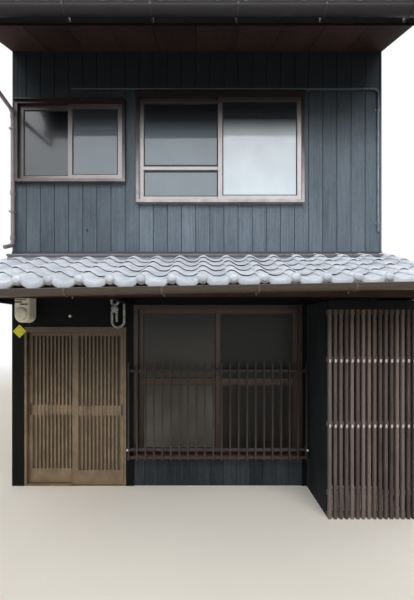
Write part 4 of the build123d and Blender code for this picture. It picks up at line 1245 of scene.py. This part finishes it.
@dataclass
class DoorPulls:
    """The dark dished lining in the recess of each door's outer stile, that the hand slides the door by."""

    half_width: float = 0.0075
    half_height: float = 0.0635
    inset: float = 0.018
    middle: float = 0.835
    recess: float = 0.006
    depths: tuple[float, ...] = (-0.0003, 0.0028, 0.0028, 0.0008)
    shares: tuple[float, ...] = (1.0, 1.0, 0.84, 0.7)
    squareness: float = 0.35
    lock_proud: float = 0.004

    def make(self) -> None:
        """Builds both linings. The outline is a superellipse: cosine and sine to a power well under one."""
        turn = np.linspace(0, 2 * np.pi, 33)[:-1]
        curve = rows(np.cos(turn), np.sin(turn))
        curve = np.sign(curve) * np.abs(curve) ** self.squareness
        across, up = (curve * [self.half_width, self.half_height]).T
        share = np.array(self.shares)[:, None]
        for side, body in (("left", LEFT_DOOR), ("right", RIGHT_DOOR)):
            low, high = box_of(f"door_sash_{side}")
            locked = side == "right"
            x = high[0] - self.inset if locked else low[0] + self.inset
            face = low[1] + (self.lock_proud if locked else 0.0) + self.recess
            store = MeshStore()
            y = (face - np.array(self.depths))[:, None]
            store.add_loft(rows(x + across * share, y, up * share + self.middle))
            store.place(f"door_pull_{side}", PULL, "door_metal", body=body, smooth=40)


@dataclass
class RainGoods:
    """Rolled rims and joint sleeves of the gutters, and the collars of the downpipe."""

    rim_radius: float = 0.0055
    rim_sides: int = 10
    sleeve_length: float = 0.06
    sleeve_proud: float = 0.0022
    sleeve_places: tuple[float, ...] = (-0.62, 1.21)
    gutter_radius: float = 0.052
    bite: float = 0.0005
    collar_radius: float = 0.0255
    collar_length: float = 0.045
    pipe_out: float = 0.035

    def edge(
        self, store: MeshStore, start: tuple, end: tuple, middle: tuple[float, float], fall: float
    ) -> None:
        """Adds a gutter's rim, and its sleeves: half rings a little proud of it, swept a short way along it.

        Args:
            store: gets the rim and the sleeves.
            start: left end of the rim.
            end: right end of the rim.
            middle: y and z of the middle of the gutter's mouth, in the middle of the house.
            fall: rise of the gutter for each metre to the right.
        """
        store.add_loft(straight_tube(start, end, self.rim_radius, self.rim_sides))
        angle = np.linspace(np.pi, 2 * np.pi, 13)
        arc = rows(np.cos(angle), np.sin(angle))
        outer, inner = self.gutter_radius + self.sleeve_proud, self.gutter_radius - self.bite
        y, z = np.vstack([outer * arc, inner * arc[::-1]]).T
        along = np.array([[-0.5], [0.5]]) * self.sleeve_length
        for x in self.sleeve_places:
            level = middle[1] + fall * x + fall * along
            store.add_loft(rows(x + along, middle[0] + y, level + z))

    def make(self) -> None:
        """Builds every gutter's rim and sleeves, and the pipe's collars over its clips and at its foot."""
        pent, eaves, collars = MeshStore(), MeshStore(), MeshStore()
        low, high = box_of("pent_gutter")
        y, length = (low[1] + high[1]) / 2, high[0] - low[0]
        rise = high[2] - low[2] - self.gutter_radius
        fall, level, front = rise / length, high[2] - rise / 2, y - self.gutter_radius
        ends = [(low[0], front, level - fall * length / 2), (high[0], front, level + fall * length / 2)]
        self.edge(pent, *ends, (y, level), fall)
        pent.place("pent_gutter_rim", GUTTER, "brown_gutter", smooth=40)
        low, high = box_of("eave_gutters")
        for side in (-1, 1):
            ends = [(x, side * high[1] - side * self.bite, high[2]) for x in (low[0], high[0])]
            self.edge(eaves, *ends, (side * (high[1] - self.gutter_radius), high[2]), 0.0)
        eaves.place("eave_gutter_rims", EAVE_GUTTER, "brown_gutter", smooth=40)
        low, high = box_of("downpipe")
        x, y = (low[0] + high[0]) / 2, -WALL_FACE - self.pipe_out
        for z in (low[2] + 0.13, low[2] + 0.62, high[2] - 0.32):
            end = (x, y, z + self.collar_length)
            collars.add_loft(straight_tube((x, y, z), end, self.collar_radius, 20))
        collars.place("downpipe_collars", RAIN_PIPE, "rain_pipe", smooth=40)


@dataclass
class SmallFittings:
    """Saddles on the conduit, bolts on the guard, the meter's parts, the bell and the cable anchor."""

    saddle_pitch: float = 0.62
    saddle_half: float = 0.008
    saddle_radius: float = 0.0125
    # How far out of the wall and beyond the arch each corner of a saddle's foot lies.
    saddle_foot: tuple[tuple[float, float], ...] = (
        (0.011, 0.0), (0.011, 0.014), (0.0095, 0.014), (0.0095, 0.001)
    )
    conduit_radius: float = 0.011
    bolt_radius: float = 0.013
    bolt_height: float = 0.432
    register_spans: tuple[tuple[float, ...], ...] = (
        (-0.066, 0.05, 0.034, 0.024), (-0.068, 0.004, 0.062, 0.046), (-0.014, 0.066, 0.084, 0.07)
    )
    push_share: float = 0.58
    eye_radius: float = 0.035
    wire: float = 0.0145
    head_shape: tuple[float, float] = (1.35, 1.0)

    def add_saddles(self) -> None:
        """Adds strap saddles that hold the conduit to the boards: a bent strip with a foot on each side."""
        low, high = box_of("conduit")
        radius, store = self.saddle_radius, MeshStore()
        right, y, top = high - self.conduit_radius
        angle = np.linspace(0, np.pi, 9)
        arch = rows(-np.sin(angle) * radius, np.cos(angle) * radius)
        foot = np.array(self.saddle_foot) + [0.0, radius]
        out, across = np.vstack([foot[::-1] * [1, -1], arch[::-1], foot]).T
        sides = np.array([[-self.saddle_half], [self.saddle_half]])
        for x in np.arange(low[0] + 0.12, high[0] - 0.15, self.saddle_pitch):
            store.add_loft(rows(x + sides, y + out, top + across))
        for z in np.arange(low[2] + 0.1, high[2] - 0.2, self.saddle_pitch):
            store.add_loft(rows(right + across, y + out, z + sides))
        store.place("conduit_saddles", CONDUIT, "conduit_metal", smooth=40)

    def add_bolts(self) -> None:
        """Adds the bright bolt heads at both ends of the guard's rails."""
        low, high = box_of("window_guard")
        radius, store = self.bolt_radius, MeshStore()
        bolt = turned(domed([[radius, 0.002], [radius, -0.004]], radius, -0.012, 0.7 * radius, 5), 14)
        for x in (low[0] + 0.006, high[0] - 0.006):
            store.add_loft(bolt + [x, low[1] + 0.011, self.bolt_height])
        store.place("guard_bolts", BOLT_METAL, "guard_metal", smooth=50)

    def add_meter_parts(self) -> None:
        """Adds the meter's moulded dome with its rim, its three register plates and its terminals' cover."""
        low, high = box_of("electric_meter")
        x, face = (low[0] + high[0]) / 2, low[1] + 0.008
        dome, plates, cover = MeshStore(), MeshStore(), MeshStore()
        rim = [[0.062, 0.004], [0.062, -0.001], [0.059, -0.003]]
        dome.add_loft(turned(domed(rim, 0.058, -0.003, 0.016, 7), 28) + [x, low[1], low[2] + 0.1])
        dome.place("meter_window", METER_GLASS, "meter_case", smooth=30)
        x0, x1, foot, head = np.array(self.register_spans).T
        plates.add_boxes((x + x0, face - 0.002, high[2] - foot), (x + x1, face + 0.002, high[2] - head))
        plates.place("meter_registers", REGISTER, "meter_case")
        end = (x + 0.03, face + 0.002, low[2] + 0.048)
        cover.add_boxes((x - 0.03, face - 0.01, low[2] + 0.024), end)
        cover.place("meter_terminal_cover", METER, "meter_case", ease_mm=2.5)

    def add_bell(self) -> None:
        """Builds the bell push beside the door as turned shapes: a white domed button in a black bezel."""
        low, high = box_of("bell_button")
        radius, depth = (high[0] - low[0]) / 2, high[1] - low[1]
        spot = np.array([(low[0] + high[0]) / 2, high[1], (low[2] + high[2]) / 2])
        bezel, push = MeshStore(), MeshStore()
        shape = [(0.0, 0.0), (1.0, 0.0), (1.0, -0.45), (0.88, -0.62), (0.66, -0.66), (0.0, -0.66)]
        bezel.add_loft(turned(np.array(shape) * [radius, depth], 24) + spot)
        bezel.place("bell_bezel", BEZEL, "button_plastic", "bell_button", smooth=40)
        shape = domed([[1.0, -0.6]], 1.0, -0.76, 0.24, 6) * [radius * self.push_share, depth]
        push.add_loft(turned(shape, 20) + spot)
        push.place("bell_push", BUTTON, "button_plastic", "bell_button", smooth=50)

    def add_cable_anchor(self) -> None:
        """Builds the anchor beside the door: a round eye over a cast head, two stems and a hooked loop.

        The eye is a ring swept round a circle. The loop runs down the left stem, round a half circle and up.
        """
        low, high = box_of("service_fitting")
        y, wire, store = low[1] + 0.034, self.wire, MeshStore()
        left, middle, right = low[0] + 0.02, low[0] + 0.07, high[0] - wire
        turn = np.linspace(0, 2 * np.pi, 29)[:-1, None]
        eye = np.array([low[0] + 0.05, y, high[2] - 0.036])
        circle = ring_of(wire, 12)
        reach = self.eye_radius + circle[:, 0]
        ring = rows(eye[0] + reach * np.cos(turn), eye[1] + circle[:, 1], eye[2] + reach * np.sin(turn))
        store.add_loft(ring, closed=True)
        neck = eye[2] - (self.eye_radius + 0.08)
        # Rise and radius of each ring of the head.
        head = [[0.0, 0.016], [0.01, 0.024], [0.03, 0.03], [0.052, 0.03], [0.066, 0.022], [0.07, 0.01]]
        rise, wide = np.array(head).T[..., None]
        around = ring_of(1.0, 16) * self.head_shape
        store.add_loft(rows(eye[0] + around[:, 0] * wide, eye[1] + around[:, 1] * wide, neck + rise))
        radius = (right - left) / 2
        centre = low[2] + wire + radius
        arc = np.linspace(np.pi, 2 * np.pi, 17)
        bend = rows(left + radius + radius * np.cos(arc), y, centre + radius * np.sin(arc))
        path = np.vstack([[[left, y, neck + 0.01]], bend, [[right, y, high[2] - 0.01]]])
        store.add_loft(bent_tube(path, wire, 12))
        store.add_loft(straight_tube((middle, y, centre - 0.01), (middle, y, neck + 0.01), wire, 12))
        store.add_boxes((eye[0] - 0.015, y, neck + 0.01), (eye[0] + 0.015, high[1], neck + 0.05))
        store.place("cable_anchor", FITTING, "fitting_metal", "service_fitting", smooth=40)

    def make(self) -> None:
        """Builds every small fitting."""
        self.add_saddles()
        self.add_bolts()
        self.add_meter_parts()
        self.add_bell()
        self.add_cable_anchor()


@dataclass
class Studio:
    """Floor, soft lights, surroundings and the camera.

    A light has a name, the middle of its soft box, the point that it faces, its width and height, and the
    brightness of its face, where one is a white surface in plain light.
    """

    floor_colour: str = "#f4ebdd"
    floor_half: float = 60.0
    fade: tuple[float, float] = (5.5, 13.0)
    eye: tuple[float, float, float] = (0.088, -6.205, 1.716)
    lens_mm: float = 17.73
    sensor_mm: float = 36
    shift: tuple[float, float] = (0.0033, 0.05)
    sky_strength: float = 0.045
    lamp_colour: tuple[float, float, float] = (0.93, 0.965, 1.0)
    lights: tuple[tuple, ...] = (
        ("sky_front", (0.0, -10.7, 9.6), (0.0, -3.0, 3.2), (16.0, 7.4), 3.35),
        ("sky_top", (0.0, -6.0, 13.0), (0.0, -4.5, 1.0), (14.0, 8.0), 1.5),
        ("sky_rear", (0.0, 12.0, 8.5), (0.0, 3.0, 3.0), (12.0, 7.0), 3.0),
        ("sky_left", (-13.0, 4.0, 7.0), (-2.0, 1.5, 2.5), (9.0, 6.0), 2.4),
        ("sky_right", (13.0, 4.0, 7.0), (2.0, 1.5, 2.5), (9.0, 6.0), 2.4),
    )

    def make_floor(self) -> None:
        """Lays a pale plain floor that keeps the object's shadow, and that is seen as white further off."""
        store, half = MeshStore(), self.floor_half
        corners = np.array([[-half, -half, 0], [half, -half, 0], [half, half, 0], [-half, half, 0]])
        store.add(corners, [np.array([[0, 1, 2, 3]])], 0.0)
        finish = Mottled("pale_floor", self.floor_colour, "#e9dfd0", 0.9, mottle_mm=1500, relief_mm=0.0)
        material = finish.build()
        shade = Shade(material.node_tree)
        output = next(node for node in shade.tree.nodes if node.type == "OUTPUT_MATERIAL")
        plain = output.inputs["Surface"].links[0].from_socket
        away = shade.add("VectorMath", {0: shade.add("TexCoord", out="Object")}, "Value", operation="LENGTH")
        near, far = self.fade
        far_off = shade.add("MapRange", {"Value": away, "From Min": near, "From Max": far})
        share = shade.add("Math", {0: far_off, 1: shade.seen_ray()}, operation="MULTIPLY")
        white = shade.add("Emission", {"Color": (1, 1, 1, 1), "Strength": 1.0})
        mixed = shade.add("MixShader", {0: share, 1: plain, 2: white})
        shade.tree.links.new(mixed, output.inputs["Surface"])
        store.build("studio_floor", material)

    def make_lights(self) -> None:
        """Hangs the soft boxes."""
        for name, place, target, size, radiance in self.lights:
            lamp = bpy.data.lights.new(name, "AREA")
            lamp.shape = "RECTANGLE"
            lamp.size, lamp.size_y = size
            lamp.energy = radiance * math.pi * size[0] * size[1]
            lamp.color = self.lamp_colour
            holder = bpy.data.objects.new(name, lamp)
            holder.location = place
            x, y, z = np.array(target) - np.array(place)
            holder.rotation_euler = (math.atan2(math.hypot(x, y), -z), 0, math.atan2(y, x) - math.pi / 2)
            bpy.context.collection.objects.link(holder)

    def make_world(self) -> None:
        """Lights the scene faintly all round, and shows white behind the object and in its reflections."""
        world = bpy.data.worlds.new("studio")
        world.use_nodes = True
        shade = Shade(world.node_tree)
        shade.tree.nodes.clear()
        white = shade.add("Background", {"Color": (1, 1, 1, 1), "Strength": 1.0})
        fill = shade.add("Background", {"Color": linear("#e6edf5"), "Strength": self.sky_strength})
        mixed = shade.add("MixShader", {0: shade.seen_ray(), 1: fill, 2: white})
        shade.add("OutputWorld", {"Surface": mixed})
        bpy.context.scene.world = world

    def make_camera(self) -> None:
        """Sets the camera level at the street, facing the front, as the photograph was taken."""
        camera = bpy.data.cameras.new("street_view")
        camera.lens, camera.sensor_width = self.lens_mm, self.sensor_mm
        camera.shift_x, camera.shift_y = self.shift
        holder = bpy.data.objects.new("street_view", camera)
        holder.location, holder.rotation_euler = self.eye, (math.pi / 2, 0, 0)
        bpy.context.collection.objects.link(holder)
        bpy.context.scene.camera = holder

    def make(self) -> None:
        """Builds the whole studio."""
        bpy.context.scene.view_settings.view_transform = "Standard"
        self.make_camera()
        self.make_world()
        self.make_floor()
        self.make_lights()


def main() -> None:
    """Builds the studio and every piece in order."""
    logging.basicConfig(level=logging.INFO, format="%(name)s %(message)s")
    Studio().make()
    dress_nodes()
    pent = TiledSlope("pent_roof_pantiles", "pent_roof_tiles", 5, 0.915, cross_fall=0.009, packing=0.006)
    pent.make()
    pent.bed_head()
    for work in (
        TiledSlope("front_roof_pantiles", "roof_tiles", 19, 3.683),
        TiledSlope("rear_roof_pantiles", "roof_tiles", 19, 3.683, rear=True),
        RidgeTiles(),
        UprightBoards("front_boarding", "front_boards", window_holes("upper_window_frames", 0, -0.72)),
        UprightBoards("rear_boarding", "rear_boards", window_holes("rear_window_frames", 2, 2.4), rear=True),
        EaveBoards(),
        Gaskets(),
        LatticeFront(),
        DoorPulls(),
        RainGoods(),
        SmallFittings(),
    ):
        work.make()


if __name__ == "__main__":
    main()
